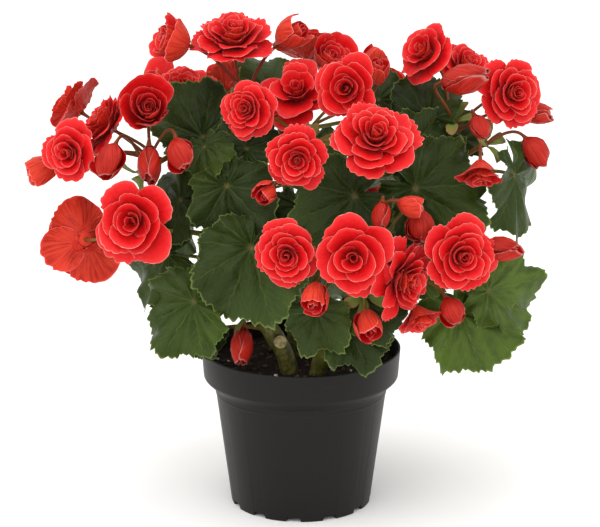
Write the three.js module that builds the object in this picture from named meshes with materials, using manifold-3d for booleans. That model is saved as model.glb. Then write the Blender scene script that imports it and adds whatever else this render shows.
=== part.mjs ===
// A double-flowered begonia in its nursery pot, in millimetres, with +Z up.
// The origin is on the pot's axis, on the surface that it stands on. -Y is the side with the most
// blooms, which is the front. Directions are given as a yaw, 0 to the front and 90 to +X, and a
// pitch above the horizon, both in degrees.
import * as THREE from "three";
import { mergeVertices } from "three/addons/utils/BufferGeometryUtils.js";
import Module from "manifold-3d";

const wasm = await Module();
wasm.setup();

const GAP = 0.3;
const TURN = 2 * Math.PI;
const radians = THREE.MathUtils.degToRad;
const point = (xyz) => new THREE.Vector3(...xyz);

// The pot: a tapered cup with a wide collar, standing on a notched foot ring and a centre pad.
const POT = {
  height: 105,
  rimRadius: 65,
  collarRadius: 63.6,
  collarFoot: 86,
  shoulderFoot: 79,
  bodyRadius: 56.2,
  footRadius: 46,
  wall: 1.5,
  floor: 4,
  floorThickness: 1.8,
  footRing: 2.6,
  padRadius: 9,
  sides: 36,
};
const NOTCH = { count: 12, width: 9, height: 2.8, turn: -6 };
const DRAIN = { count: 6, radius: 4, at: 30, sides: 8 };

// The soil's top stands a little under the rim and rises to the middle.
const SOIL = { edge: 92.5, middle: 97, rings: 2, sides: 18, lump: 1.1, grip: 0.4 };

const STEM = { rootDepth: 68, sides: 6, stride: 24, socket: 0.4 };
const STUB = { startRadius: 4.6, endRadius: 4.2, sides: 7, stride: 20 };
const PETIOLE = { startRadius: 2, endRadius: 0.9, sides: 4, stride: 26 };
const PEDUNCLE = { startRadius: 2.3, endRadius: 1.8, sides: 5, stride: 20 };
const PEDICEL = { startRadius: 1.3, endRadius: 1.1, sides: 4, stride: 26, first: 1, apart: 2.6 };

// A leaf blade is a lopsided heart round the end of its petiole, cut into teeth.
const LEAF = { thickness: 0.9, dip: 0.4, teeth: [7, 9], large: 36, sinus: 0.16, spread: 166, tooth: 0.09, lopsided: 0.13, ring: 0.55, middle: 0.2 };

// Petals in each form of flower, as whorls from the outside in. `root` and `tip` are how far the
// petal leans from the flower's axis at its two ends. Lengths are shares of the flower's width.
const PETAL = { thickness: 0.8, widest: 0.75, narrowest: 0.2, shoulder: 0.45, brow: 0.88 };
const WHORLS = {
  full: [
    { count: 5, root: 52, tip: 102, length: 0.45, half: 0.2, cup: 0.15, seat: 1 },
    { count: 4, root: 24, tip: 66, length: 0.41, half: 0.155, cup: 0.1, seat: 0.72 },
  ],
  cupped: [
    { count: 4, root: 32, tip: 60, length: 0.66, half: 0.25, cup: 0.2, seat: 1 },
    { count: 3, root: 20, tip: 30, length: 0.56, half: 0.14, cup: 0.1, seat: 0.6 },
  ],
  opening: [
    { count: 3, root: 58, tip: -24, length: 1.25, half: 0.36, cup: 0.3, seat: 1 },
    { count: 3, root: 20, tip: -8, length: 0.9, half: 0.13, cup: 0.1, seat: 0.45 },
  ],
};
const SEAT = { radius: 0.1, least: 2.2, step: 0.03 };
const FORWARD = { full: 0.16, cupped: 0.3, opening: 0.5, bud: 0.5 };
const BUD = { sides: 6, flat: 0.68, long: 1.25, profile: [[0, 0.15], [0.16, 0.38], [0.55, 0.5], [0.86, 0.32]] };

const COLOURS = { pot: 0x2d2c2b, soil: 0x2a1b12, stem: 0x3f6131, petal: 0xe0282a, bud: 0xc8352c };

// The stems, each with the leaves and the sprays of flowers that grow from it. `from` is the share
// of the stem's length where a leaf or a spray leaves it.
// A leaf row is [from, end of petiole, yaw, pitch, roll of the tip from straight down, length].
// A spray row has the point where its stalk forks, and its flowers as
// [name, form, middle, yaw, pitch, width].
const STEMS = [
  {
    name: "leafy_stem_left",
    path: [[-6, -22, STEM.rootDepth], [-9, -28, 104], [-24, -30, 134], [-50, -8, 190], [-70, 2, 232]],
    radii: [6.4, 3.2],
    stub: { from: 0.28, end: [-13, -42, 121] },
    leaves: [
      [0.95, [-62, -12, 247], -10, 25, 176, 38],
      [0.9, [-60, -30, 245], -25, 45, 20, 22],
      [0.94, [-34, -32, 244], 0, 30, 150, 28],
      [0.66, [-46, -46, 224], -4, 20, 8, 36],
      [0.42, [-31, -63, 189], 2, 22, -22, 46],
      [0.36, [-67, -50, 150], -20, 15, -62, 38],
      [0.5, [-84, -22, 173], -35, 20, -66, 38],
      [0.66, [-76, -16, 207], -35, 35, -70, 34],
      [0.3, [-60, -22, 122], -20, 30, -20, 18],
    ],
    sprays: [
      {
        from: 0.98,
        fork: [-102, -14, 222],
        flowers: [
          ["bud_left_inner", "bud", [-75, -50, 246], 20, -50, 19],
          ["bud_left_middle", "bud", [-94, -44, 238], 0, -60, 21],
          ["bud_left_front", "bud", [-118, -49, 242], -30, -50, 20],
          ["bloom_left_cup", "cupped", [-95, -30, 269], 5, 30, 36],
          ["bloom_left_side", "full", [-123, -12, 256], -80, 40, 42],
          ["bloom_left_far", "full", [-144, -38, 243], -25, 10, 38],
          ["bloom_left_back", "full", [-146, 20, 260], -115, 30, 38],
          ["bud_left_far", "opening", [-163, -12, 225], -80, -20, 20],
        ],
      },
      {
        from: 0.86,
        fork: [-74, 14, 240],
        flowers: [
          ["bloom_left_top", "full", [-75, 24, 270], 10, 55, 48],
          ["bloom_left_rear", "cupped", [-94, 54, 264], -70, 40, 34],
        ],
      },
      {
        from: 0.6,
        fork: [-92, -30, 190],
        flowers: [
          ["bloom_left_low", "full", [-103, -66, 207], -12, 8, 56],
          ["bloom_left_turned", "full", [-139, -28, 186], -155, -5, 56],
        ],
      },
      {
        from: 0.34,
        fork: [-34, -36, 138],
        flowers: [["bud_over_soil", "bud", [-38, -42, 120], -20, -70, 20]],
      },
    ],
  },
  {
    name: "leafy_stem_right",
    path: [[18, -8, STEM.rootDepth], [24, -10, 108], [48, -6, 150], [78, -2, 194], [94, 2, 228]],
    radii: [6.2, 3.2],
    leaves: [
      [0.74, [71, -44, 222], 14, 25, 54, 48],
      [0.84, [69, -25, 241], 10, 35, 66, 38],
      [0.9, [80, -4, 258], -10, 30, 176, 30],
      [0.98, [101, 8, 242], 20, 30, 110, 22],
      [0.8, [134, -18, 224], 62, 10, 0, 44],
      [0.5, [118, -40, 154], 26, 35, 58, 38],
      [0.4, [98, -48, 145], 16, 35, 16, 42],
    ],
    sprays: [
      {
        from: 0.98,
        fork: [96, -4, 256],
        flowers: [
          ["bud_right_top", "bud", [99, -34, 289], 60, 15, 26],
          ["bloom_right_side", "full", [78, 2, 299], -50, 35, 44],
          ["bloom_right_top", "full", [106, 28, 285], 40, 45, 40],
          ["bloom_right_far", "full", [133, -10, 275], 28, 12, 46],
          ["bud_right_far", "bud", [148, 6, 260], 80, 0, 18],
        ],
      },
      {
        from: 0.9,
        fork: [118, -14, 244],
        flowers: [
          ["bud_right_low", "bud", [148, -6, 238], 70, -50, 18],
          ["bud_right_hanging", "bud", [111, -38, 260], 40, -50, 15],
          ["bloom_right_hanging", "cupped", [111, -50, 232], 0, -60, 29],
        ],
      },
    ],
  },
  {
    name: "leafy_stem_front",
    path: [[8, -26, STEM.rootDepth], [12, -32, 104], [24, -46, 136], [36, -56, 168]],
    radii: [6, 3.2],
    leaves: [
      [0.36, [28, -71, 141], 4, 35, 26, 30],
      [0.5, [10, -80, 152], -8, 40, -10, 26],
      [0.7, [37, -75, 155], 6, 40, 36, 27],
      [0.96, [66, -54, 175], 20, 35, 70, 32],
    ],
    sprays: [
      {
        from: 1,
        fork: [46, -80, 180],
        flowers: [
          ["bud_front_inner", "bud", [48, -95, 218], -10, -50, 16],
          ["bud_front_top", "opening", [66, -88, 223], 80, -10, 15],
          ["bloom_front_left", "full", [-8, -98, 194], -8, 5, 42],
          ["bloom_front_middle", "full", [31, -110, 196], -3, 5, 52],
          ["bloom_front_turned", "full", [62, -94, 177], 50, -5, 44],
          ["bloom_front_right", "full", [97, -88, 190], 15, 8, 50],
          ["bud_front_right", "bud", [121, -68, 190], 75, 5, 20],
          ["bud_front_middle", "bud", [73, -76, 207], 0, -60, 18],
        ],
      },
      {
        from: 0.86,
        fork: [40, -78, 162],
        flowers: [
          ["bud_front_low_left", "opening", [8, -104, 170], -10, -30, 20],
          ["bud_front_lowest", "opening", [41, -98, 151], 10, -30, 20],
          ["bloom_front_low", "cupped", [73, -86, 150], 30, -50, 27],
          ["bud_front_low_right", "bud", [92, -86, 156], 40, -50, 16],
        ],
      },
    ],
  },
  {
    name: "leafy_stem_middle",
    path: [[-2, 8, STEM.rootDepth], [-4, 8, 120], [-6, 2, 184], [-12, 4, 246]],
    radii: [6, 3],
    leaves: [
      [0.72, [33, -60, 221], 0, 20, -68, 43],
      [0.5, [-2, -36, 208], 0, 30, 0, 30],
      [0.9, [-18, 22, 270], -10, 40, 180, 30],
      [0.94, [50, 22, 264], 10, 40, 170, 26],
    ],
    sprays: [
      {
        from: 1,
        fork: [-40, 4, 274],
        flowers: [
          ["bloom_crown", "full", [-42, 0, 309], 0, 66, 54],
          ["bloom_crown_left", "cupped", [-80, -3, 307], -70, 20, 32],
          ["bud_crown_right", "opening", [-6, 6, 309], 60, 35, 22],
        ],
      },
      {
        from: 0.92,
        fork: [6, -30, 246],
        flowers: [
          ["bud_middle_low", "opening", [-20, -84, 229], -20, -10, 16],
          ["bloom_middle_low", "full", [-2, -82, 249], -2, 0, 40],
          ["bloom_middle_left", "full", [-33, -44, 272], -25, 15, 38],
          ["bloom_middle_large", "full", [45, -76, 261], 8, 42, 56],
          ["bloom_middle_right", "full", [28, -50, 286], -8, 12, 42],
          ["bloom_middle_rear", "full", [-2, -13, 276], -10, 45, 40],
          ["bloom_middle_top", "cupped", [18, 13, 291], 30, 50, 34],
          ["bud_middle_top", "opening", [49, 2, 286], 10, 60, 17],
        ],
      },
    ],
  },
  {
    name: "leafy_stem_back",
    path: [[4, 28, STEM.rootDepth], [6, 36, 108], [12, 54, 156], [8, 66, 206], [4, 68, 236]],
    radii: [6, 3],
    leaves: [
      [0.36, [-28, 74, 158], 200, 35, 30, 46],
      [0.42, [46, 76, 160], 160, 35, -30, 46],
      [0.7, [-48, 64, 206], 215, 40, 40, 44],
      [0.74, [60, 62, 206], 140, 40, -40, 44],
      [0.9, [6, 88, 222], 180, 40, 0, 40],
      [0.5, [-78, 44, 172], 240, 35, 20, 42],
      [0.56, [88, 42, 176], 120, 35, -20, 42],
      [0.24, [20, 72, 130], 175, 45, -10, 30],
    ],
    sprays: [
      {
        from: 1,
        fork: [6, 70, 256],
        flowers: [
          ["bloom_back_top", "full", [4, 72, 290], 170, 60, 48],
          ["bloom_back_left", "full", [-52, 92, 262], 205, 35, 46],
          ["bloom_back_right", "full", [58, 84, 258], 150, 30, 48],
          ["bud_back_top", "opening", [46, 56, 284], 110, 50, 17],
          ["bud_back_left", "bud", [-26, 108, 240], 190, -40, 18],
        ],
      },
      {
        from: 0.8,
        fork: [8, 96, 190],
        flowers: [
          ["bloom_back_middle", "full", [10, 124, 202], 180, 10, 52],
          ["bloom_back_low", "cupped", [-42, 106, 184], 200, 0, 36],
          ["bud_back_low", "bud", [48, 110, 184], 160, -40, 18],
        ],
      },
    ],
  },
];

// The direction of a yaw and pitch, with the directions to its right and up as seen from ahead of it.
function facing(yaw, pitch) {
  const [a, p] = [radians(yaw), radians(pitch)];
  return {
    out: new THREE.Vector3(Math.sin(a) * Math.cos(p), -Math.cos(a) * Math.cos(p), Math.sin(p)),
    right: new THREE.Vector3(Math.cos(a), Math.sin(a), 0),
    up: new THREE.Vector3(-Math.sin(a) * Math.sin(p), Math.cos(a) * Math.sin(p), Math.cos(p)),
  };
}

// A repeatable number from 0 to 1 for a whole-number seed.
function chance(seed) {
  const wave = Math.sin(seed * 12.9898 + 4.1414) * 43758.5453;
  return wave - Math.floor(wave);
}

// A three.js geometry as a solid that can be joined and cut.
function solid(geometry) {
  const bare = geometry.clone();
  bare.deleteAttribute("normal");
  bare.deleteAttribute("uv");
  const merged = mergeVertices(bare, 1e-4);
  return new wasm.Manifold(
    new wasm.Mesh({
      numProp: 3,
      vertProperties: new Float32Array(merged.attributes.position.array),
      triVerts: new Uint32Array(merged.index.array),
    }),
  );
}

// A solid back as a three.js geometry.
function geometryOf(made) {
  const mesh = made.getMesh();
  const geometry = new THREE.BufferGeometry();
  geometry.setAttribute("position", new THREE.BufferAttribute(mesh.vertProperties, 3));
  geometry.setIndex(new THREE.BufferAttribute(mesh.triVerts, 1));
  geometry.computeVertexNormals();
  return geometry;
}

function join(solids) {
  return solids.reduce((whole, next) => whole.add(next));
}

function geometryFrom(points, faces) {
  const geometry = new THREE.BufferGeometry().setFromPoints(points);
  return geometry.setIndex(faces.flat());
}

// A round stalk along a curve, from one radius to another, closed at both ends. `stride` is about
// how long its straight pieces are.
function stalk(curve, { startRadius, endRadius, sides, stride }) {
  const steps = Math.max(2, Math.round(curve.getLength() / stride));
  const frames = curve.computeFrenetFrames(steps, false);
  const points = [];
  const faces = [];
  for (let i = 0; i <= steps; i++) {
    const centre = curve.getPointAt(i / steps);
    const radius = THREE.MathUtils.lerp(startRadius, endRadius, i / steps);
    for (let j = 0; j < sides; j++) {
      const angle = (TURN * j) / sides;
      const rim = centre.clone().addScaledVector(frames.normals[i], radius * Math.cos(angle));
      points.push(rim.addScaledVector(frames.binormals[i], radius * Math.sin(angle)));
    }
  }
  for (let i = 0; i < steps; i++) {
    for (let j = 0; j < sides; j++) {
      const [a, b] = [i * sides + j, i * sides + ((j + 1) % sides)];
      faces.push([a, b, b + sides], [a, b + sides, a + sides]);
    }
  }
  const last = steps * sides;
  for (let j = 1; j < sides - 1; j++) {
    faces.push([0, j + 1, j], [last, last + j, last + j + 1]);
  }
  return geometryFrom(points, faces);
}

// A thin closed blade. `front` and `back` hold the two faces' points, `faces` the triangles of the
// front, and `outline` the front's edge, anticlockwise as seen from ahead of it.
function blade(front, back, faces, outline) {
  const size = front.length;
  const all = faces.map((face) => [...face]);
  faces.forEach(([a, b, c]) => all.push([a + size, c + size, b + size]));
  outline.forEach((a, i) => {
    const b = outline[(i + 1) % outline.length];
    all.push([a, a + size, b + size], [a, b + size, b]);
  });
  return geometryFrom([...front, ...back], all);
}

// A petal's half width, as a share of its greatest, at u from root to tip.
function petalOutline(u) {
  if (u < PETAL.widest) {
    return PETAL.narrowest + (1 - PETAL.narrowest) * Math.sin((Math.PI / 2) * (u / PETAL.widest));
  }
  return Math.sqrt(1 - ((u - PETAL.widest) / (1 - PETAL.widest)) ** 2.6);
}

// A point of a petal, in its flower's frame with the flower's axis on +Z. The petal's middle line
// is an arc that leans from `root` to `tip`, and its edges curl in towards the axis. `back` is how
// far the point is behind the petal's inner face.
function petalPoint(petal, u, v, back) {
  const [root, tip] = [radians(petal.root), radians(petal.tip)];
  const lean = root + (tip - root) * u;
  const reach = (petal.length * (Math.cos(root) - Math.cos(lean))) / (tip - root);
  const rise = (petal.length * (Math.sin(lean) - Math.sin(root))) / (tip - root);
  const half = petal.half * petalOutline(u);
  const inward = petal.cup * half * v * v - back;
  const out = petal.start + reach - inward * Math.cos(lean);
  const height = petal.base + rise + inward * Math.sin(lean);
  return new THREE.Vector3(out, half * v, height).applyAxisAngle(new THREE.Vector3(0, 0, 1), petal.turn);
}

// Adds a petal that grows out of the wall between two corners of its flower's seat. `low` and
// `high` are the corners on the wall's lower and upper edge.
function growPetal(points, faces, petal, low, high) {
  const { shoulder, brow, thickness } = PETAL;
  const places = [[shoulder, -1], [brow, -1], [1, 0], [brow, 1], [shoulder, 1]];
  const side = (back) => places.map(([u, v]) => points.push(petalPoint(petal, u, v, back)) - 1);
  const inner = [high[0], ...side(0), high[1]];
  const outer = [low[0], ...side(thickness), low[1]];
  [[0, 1, 5], [0, 5, 6], [1, 2, 4], [1, 4, 5], [2, 3, 4]].forEach(([a, b, c]) => {
    faces.push([inner[a], inner[b], inner[c]], [outer[a], outer[c], outer[b]]);
  });
  for (let i = 0; i < 6; i++) {
    faces.push([inner[i], outer[i], outer[i + 1]], [inner[i], outer[i + 1], inner[i + 1]]);
  }
}

// Closes the band between two rings of corners. A ring's first corner is at `turn`, in turns.
function closeBand(faces, lower, upper) {
  let [i, j] = [0, 0];
  const cornerTurn = (ring, k) => ring.turn + k / ring.corners.length;
  const corner = (ring, k) => ring.corners[k % ring.corners.length];
  while (i < lower.corners.length || j < upper.corners.length) {
    if (cornerTurn(lower, i + 1) <= cornerTurn(upper, j + 1)) {
      faces.push([corner(lower, i), corner(lower, i + 1), corner(upper, j)]);
      i += 1;
    } else {
      faces.push([corner(lower, i), corner(upper, j + 1), corner(upper, j)]);
      j += 1;
    }
  }
}

// An open flower: whorls of petals growing from the walls of a stepped seat.
function openFlower(form, width, seed) {
  const points = [];
  const faces = [];
  let below = null;
  let height = 0;
  WHORLS[form].forEach((whorl, layer) => {
    const { count } = whorl;
    const turn = (layer % 2 ? 0.5 / count : 0) - 0.5 / count;
    const radius = Math.max(SEAT.least, SEAT.radius * width) * whorl.seat;
    const ring = (up) => ({
      turn,
      corners: Array.from({ length: count }, (_, k) => {
        const angle = TURN * (turn + k / count);
        return points.push(new THREE.Vector3(radius * Math.cos(angle), radius * Math.sin(angle), up)) - 1;
      }),
    });
    const low = ring(height);
    const high = ring(height + PETAL.thickness);
    if (below) closeBand(faces, below, low);
    else for (let k = 1; k < count - 1; k++) faces.push([low.corners[0], low.corners[k + 1], low.corners[k]]);
    for (let k = 0; k < count; k++) {
      const draw = seed * 31 + layer * 7 + k;
      const grown = 0.95 + 0.1 * chance(draw);
      const petal = {
        root: whorl.root,
        tip: whorl.tip + 8 * (chance(draw + 0.5) - 0.5),
        length: whorl.length * width * grown,
        half: whorl.half * width,
        cup: whorl.cup,
        start: radius * Math.cos(Math.PI / count),
        base: height + PETAL.thickness,
        turn: TURN * (turn + (k + 0.5) / count),
      };
      const next = (k + 1) % count;
      growPetal(points, faces, petal, [low.corners[k], low.corners[next]], [high.corners[k], high.corners[next]]);
    }
    below = high;
    height += PETAL.thickness + SEAT.step * width;
  });
  for (let k = 1; k < below.corners.length - 1; k++) {
    faces.push([below.corners[0], below.corners[k], below.corners[k + 1]]);
  }
  return geometryFrom(points, faces);
}

// A shut bud is two petals pressed flat together: a rounded body, wider than it is deep.
function shutBud(width) {
  const outline = BUD.profile.map(([up, out]) => new THREE.Vector2(out * width, up * BUD.long * width));
  const profile = [new THREE.Vector2(0, 0), ...outline, new THREE.Vector2(0, BUD.long * width)];
  return new THREE.LatheGeometry(profile, BUD.sides).rotateX(Math.PI / 2).scale(1, BUD.flat, 1);
}

// Where a flower's seat is, for a flower whose middle is at `middle`.
function seatOf([, form, middle, yaw, pitch, width]) {
  return point(middle).addScaledVector(facing(yaw, pitch).out, -FORWARD[form] * width);
}

function flowerMesh(row, seed) {
  const [name, form, , yaw, pitch, width] = row;
  const made = form === "bud" ? shutBud(width) : openFlower(form, width, seed);
  const colour = form === "bud" ? COLOURS.bud : COLOURS.petal;
  const material = new THREE.MeshStandardMaterial({ color: colour, roughness: 0.55, metalness: 0 });
  const mesh = new THREE.Mesh(made, material);
  const { out, right, up } = facing(yaw, pitch);
  mesh.name = name;
  mesh.quaternion.setFromRotationMatrix(new THREE.Matrix4().makeBasis(right, up, out));
  mesh.position.copy(seatOf(row));
  return mesh;
}

// How far a leaf's edge is from its petiole, as a share of its length, at an angle from the tip.
function leafReach(angle) {
  return (0.74 + 0.26 * Math.cos(angle)) * (1 + LEAF.lopsided * Math.sin(angle));
}

// How far a leaf's surface stands off its flat plane: arched down to the tip, raised on either side
// of the midrib, and waved round the edge.
function leafHeight(share, angle, seed) {
  const wave = 0.09 * Math.sin(3 * angle + TURN * chance(seed)) * share * share;
  return 0.2 * Math.abs(Math.sin(angle)) * share - 0.26 * share * share + wave;
}

function leafBlade([, end, yaw, pitch, roll, length], seed) {
  const { out, right, up } = facing(yaw, pitch);
  const tip = right.clone().multiplyScalar(Math.sin(radians(roll)));
  tip.addScaledVector(up, -Math.cos(radians(roll)));
  const side = out.clone().cross(tip);
  const place = (share, angle) => {
    const reach = share * length;
    return point(end)
      .addScaledVector(tip, reach * Math.cos(angle))
      .addScaledVector(side, reach * Math.sin(angle))
      .addScaledVector(out, length * leafHeight(share, angle, seed));
  };
  const edgeCount = 2 * LEAF.teeth[length > LEAF.large ? 1 : 0] - 1;
  const spread = radians(LEAF.spread);
  const middle = [place(LEAF.middle, 0)];
  const ring = [];
  const edge = [];
  for (let k = 0; k < edgeCount; k++) {
    const angle = -spread + (2 * spread * k) / (edgeCount - 1);
    const reach = leafReach(angle);
    edge.push(place(reach * (k % 2 ? 1 - LEAF.tooth : 1 + LEAF.tooth), angle));
    if (k % 2 === 0) ring.push(place(reach * LEAF.ring, angle));
  }
  edge.push(place(LEAF.sinus, Math.PI));
  const firstRing = 1;
  const firstEdge = firstRing + ring.length;
  const sinus = firstEdge + edgeCount;
  const faces = [];
  for (let j = 0; j < ring.length - 1; j++) {
    const [r, e] = [firstRing + j, firstEdge + 2 * j];
    faces.push([0, r, r + 1], [r, e, e + 1], [r, e + 1, r + 1], [r + 1, e + 1, e + 2]);
  }
  const lastRing = firstRing + ring.length - 1;
  faces.push([0, lastRing, sinus], [lastRing, sinus - 1, sinus]);
  faces.push([0, sinus, firstRing], [sinus, firstEdge, firstRing]);
  const centre = [...middle, ...ring, ...edge];
  const shift = (amount) => centre.map((p) => p.clone().addScaledVector(out, amount * LEAF.thickness));
  const outline = edge.map((_, k) => firstEdge + k);
  return blade(shift(0.5), shift(-0.5), faces, outline);
}

// A leaf's petiole leaves the stem upwards and comes to the blade from behind.
function petioleCurve(stem, [from, end, yaw, pitch, roll]) {
  const start = stem.getPointAt(from);
  const { out, right, up } = facing(yaw, pitch);
  const finish = point(end).addScaledVector(out, -LEAF.dip);
  const span = finish.distanceTo(start);
  const rise = stem.getTangentAt(from).multiplyScalar(0.3 * span);
  const behind = out.clone().multiplyScalar(0.75);
  behind.addScaledVector(right, 0.4 * Math.sin(radians(roll)));
  behind.addScaledVector(up, -0.4 * Math.cos(radians(roll)));
  const before = finish.clone().addScaledVector(behind.normalize(), -0.35 * span);
  return new THREE.CubicBezierCurve3(start, start.clone().add(rise), before, finish);
}

// A stalk that rises from `start` and meets `finish` along the direction `out`.
function risingCurve(start, finish, out) {
  const span = finish.distanceTo(start);
  const first = start.clone().lerp(finish, 0.3).add(new THREE.Vector3(0, 0, 0.14 * span));
  const second = finish.clone().addScaledVector(out, -0.4 * span);
  return new THREE.CubicBezierCurve3(start, first, second, finish);
}

function stemCurve(stem) {
  return new THREE.CatmullRomCurve3(stem.path.map(point), false, "centripetal");
}

function stemStalk(stem, extra) {
  const [startRadius, endRadius] = stem.radii.map((radius) => radius + extra);
  return stalk(stemCurve(stem), { ...STEM, startRadius, endRadius });
}

// One leafy stem: the stem with all its petioles, leaf blades and flower stalks, grown as one.
function stemMesh(stem, order) {
  const curve = stemCurve(stem);
  const parts = [solid(stemStalk(stem, 0))];
  if (stem.stub) {
    const { from, end } = stem.stub;
    parts.push(solid(stalk(new THREE.LineCurve3(curve.getPointAt(from), point(end)), STUB)));
  }
  stem.leaves.forEach((leaf, k) => {
    parts.push(solid(stalk(petioleCurve(curve, leaf), PETIOLE)));
    parts.push(solid(leafBlade(leaf, 10 * order + k)));
  });
  stem.sprays.forEach(({ from, fork, flowers }) => {
    const root = curve.getPointAt(from);
    const bend = root.clone().addScaledVector(curve.getTangentAt(from), 0.4 * root.distanceTo(point(fork)));
    const peduncle = new THREE.QuadraticBezierCurve3(root, bend, point(fork));
    const length = peduncle.getLength();
    parts.push(solid(stalk(peduncle, PEDUNCLE)));
    flowers.forEach((row, k) => {
      const { out } = facing(row[3], row[4]);
      const seat = seatOf(row).addScaledVector(out, -GAP);
      const start = peduncle.getPointAt(1 - (PEDICEL.first + k * PEDICEL.apart) / length);
      parts.push(solid(stalk(risingCurve(start, seat, out), PEDICEL)));
    });
  });
  const material = new THREE.MeshStandardMaterial({ color: COLOURS.stem, roughness: 0.5, metalness: 0 });
  const mesh = new THREE.Mesh(geometryOf(join(parts)), material);
  mesh.name = stem.name;
  return mesh;
}

// A lathe profile of [radius, height] pairs, turned about +Z.
function turned(profile, sides) {
  const points = profile.map(([radius, height]) => new THREE.Vector2(radius, height));
  return new THREE.LatheGeometry(points, sides).rotateX(Math.PI / 2);
}

// The pot's inner radius at a height above its floor.
function potInside(height) {
  const { wall, shoulderFoot, collarFoot, footRadius, bodyRadius, collarRadius, rimRadius } = POT;
  const between = THREE.MathUtils.mapLinear;
  if (height < shoulderFoot) return between(height, 0, shoulderFoot, footRadius, bodyRadius) - wall;
  if (height < collarFoot) {
    return between(height, shoulderFoot, collarFoot, bodyRadius, collarRadius) - wall;
  }
  return between(height, collarFoot, POT.height, collarRadius, rimRadius) - wall;
}

function potMesh() {
  const floorTop = POT.floor + POT.floorThickness;
  const profile = [
    [0, 0],
    [POT.padRadius, 0],
    [POT.padRadius, POT.floor],
    [POT.footRadius - POT.footRing, POT.floor],
    [POT.footRadius - POT.footRing, 0],
    [POT.footRadius, 0],
    [POT.bodyRadius, POT.shoulderFoot],
    [POT.collarRadius, POT.collarFoot],
    [POT.rimRadius, POT.height],
    [POT.rimRadius - POT.wall, POT.height],
    [potInside(POT.collarFoot), POT.collarFoot],
    [potInside(POT.shoulderFoot), POT.shoulderFoot],
    [potInside(floorTop), floorTop],
    [0, floorTop],
  ];
  let made = solid(turned(profile, POT.sides));
  for (let k = 0; k < NOTCH.count; k++) {
    const deep = 4 * POT.footRing;
    const notch = new THREE.BoxGeometry(NOTCH.width, deep, 2 * NOTCH.height);
    notch.translate(0, -POT.footRadius, 0);
    made = made.subtract(solid(notch.rotateZ((TURN * k) / NOTCH.count + radians(NOTCH.turn))));
  }
  for (let k = 0; k < DRAIN.count; k++) {
    const hole = new THREE.CylinderGeometry(DRAIN.radius, DRAIN.radius, 4 * POT.floor, DRAIN.sides);
    hole.rotateX(Math.PI / 2).translate(DRAIN.at, 0, POT.floor);
    made = made.subtract(solid(hole.rotateZ((TURN * k) / DRAIN.count)));
  }
  const material = new THREE.MeshStandardMaterial({ color: COLOURS.pot, roughness: 0.45, metalness: 0 });
  const mesh = new THREE.Mesh(geometryOf(made), material);
  mesh.name = "pot";
  return mesh;
}

// The soil fills the pot, lumpy on top, with a plain hole for each stem.
function soilMesh() {
  const floorTop = POT.floor + POT.floorThickness + GAP;
  const inside = (height) => potInside(height) - SOIL.grip;
  const profile = [
    [0, floorTop],
    [inside(floorTop), floorTop],
    [inside(POT.shoulderFoot), POT.shoulderFoot],
    [inside(POT.collarFoot), POT.collarFoot],
    [inside(SOIL.edge), SOIL.edge],
  ];
  for (let ring = SOIL.rings; ring >= 0; ring--) {
    const share = ring / (SOIL.rings + 1);
    const height = THREE.MathUtils.lerp(SOIL.middle, SOIL.edge + 1, share * share);
    profile.push([share * inside(SOIL.edge), height]);
  }
  const soil = turned(profile, SOIL.sides);
  const places = soil.getAttribute("position");
  for (let i = 0; i < places.count; i++) {
    const [x, y, z] = [places.getX(i), places.getY(i), places.getZ(i)];
    if (z > SOIL.edge + 0.5) {
      const draw = Math.round(x * 3) * 17 + Math.round(y * 3) * 29;
      places.setZ(i, z + SOIL.lump * (chance(draw) - 0.5));
    }
  }
  let made = solid(soil);
  STEMS.forEach((stem) => {
    made = made.subtract(solid(stemStalk(stem, STEM.socket).translate(0, 0, -STEM.socket)));
  });
  const material = new THREE.MeshStandardMaterial({ color: COLOURS.soil, roughness: 0.95, metalness: 0 });
  const mesh = new THREE.Mesh(geometryOf(made), material);
  mesh.name = "soil";
  return mesh;
}

const begonia = new THREE.Group();
begonia.add(potMesh(), soilMesh());
let flowerCount = 0;
STEMS.forEach((stem, order) => {
  begonia.add(stemMesh(stem, order));
  stem.sprays.forEach(({ flowers }) => {
    flowers.forEach((row) => {
      flowerCount += 1;
      begonia.add(flowerMesh(row, flowerCount));
    });
  });
});

export default begonia;
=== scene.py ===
import math
from functools import partial

import bpy
import numpy as np
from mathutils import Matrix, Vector


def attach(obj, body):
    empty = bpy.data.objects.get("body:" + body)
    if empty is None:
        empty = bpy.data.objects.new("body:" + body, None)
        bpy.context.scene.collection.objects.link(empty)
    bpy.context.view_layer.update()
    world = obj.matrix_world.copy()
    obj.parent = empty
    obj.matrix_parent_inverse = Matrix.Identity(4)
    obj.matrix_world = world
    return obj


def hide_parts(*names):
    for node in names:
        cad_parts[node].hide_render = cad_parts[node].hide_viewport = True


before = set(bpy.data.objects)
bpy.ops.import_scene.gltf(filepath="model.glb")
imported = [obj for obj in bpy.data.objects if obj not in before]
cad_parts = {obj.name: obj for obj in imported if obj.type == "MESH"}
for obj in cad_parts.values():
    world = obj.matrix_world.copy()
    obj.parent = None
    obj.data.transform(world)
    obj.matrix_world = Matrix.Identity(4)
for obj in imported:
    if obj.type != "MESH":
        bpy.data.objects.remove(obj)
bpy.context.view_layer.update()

bl_info = {
    "name": "Potted begonia",
    "version": (1, 0, 0),
    "blender": (4, 5, 0),
    "location": "View3D > Sidebar > Begonia",
    "description": "Grows a double-flowered begonia in a nursery pot over its rigid frame",
    "category": "Add Mesh",
}

MM = 0.001
TURN = 2 * np.pi
ROOT = "root"
# Shading splits where an edge turns by more degrees than this: at a thin sheet's rim only, and at the
# corners of the pot.
SHARP_SHEET, SHARP_PLASTIC = 100, 40

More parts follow.
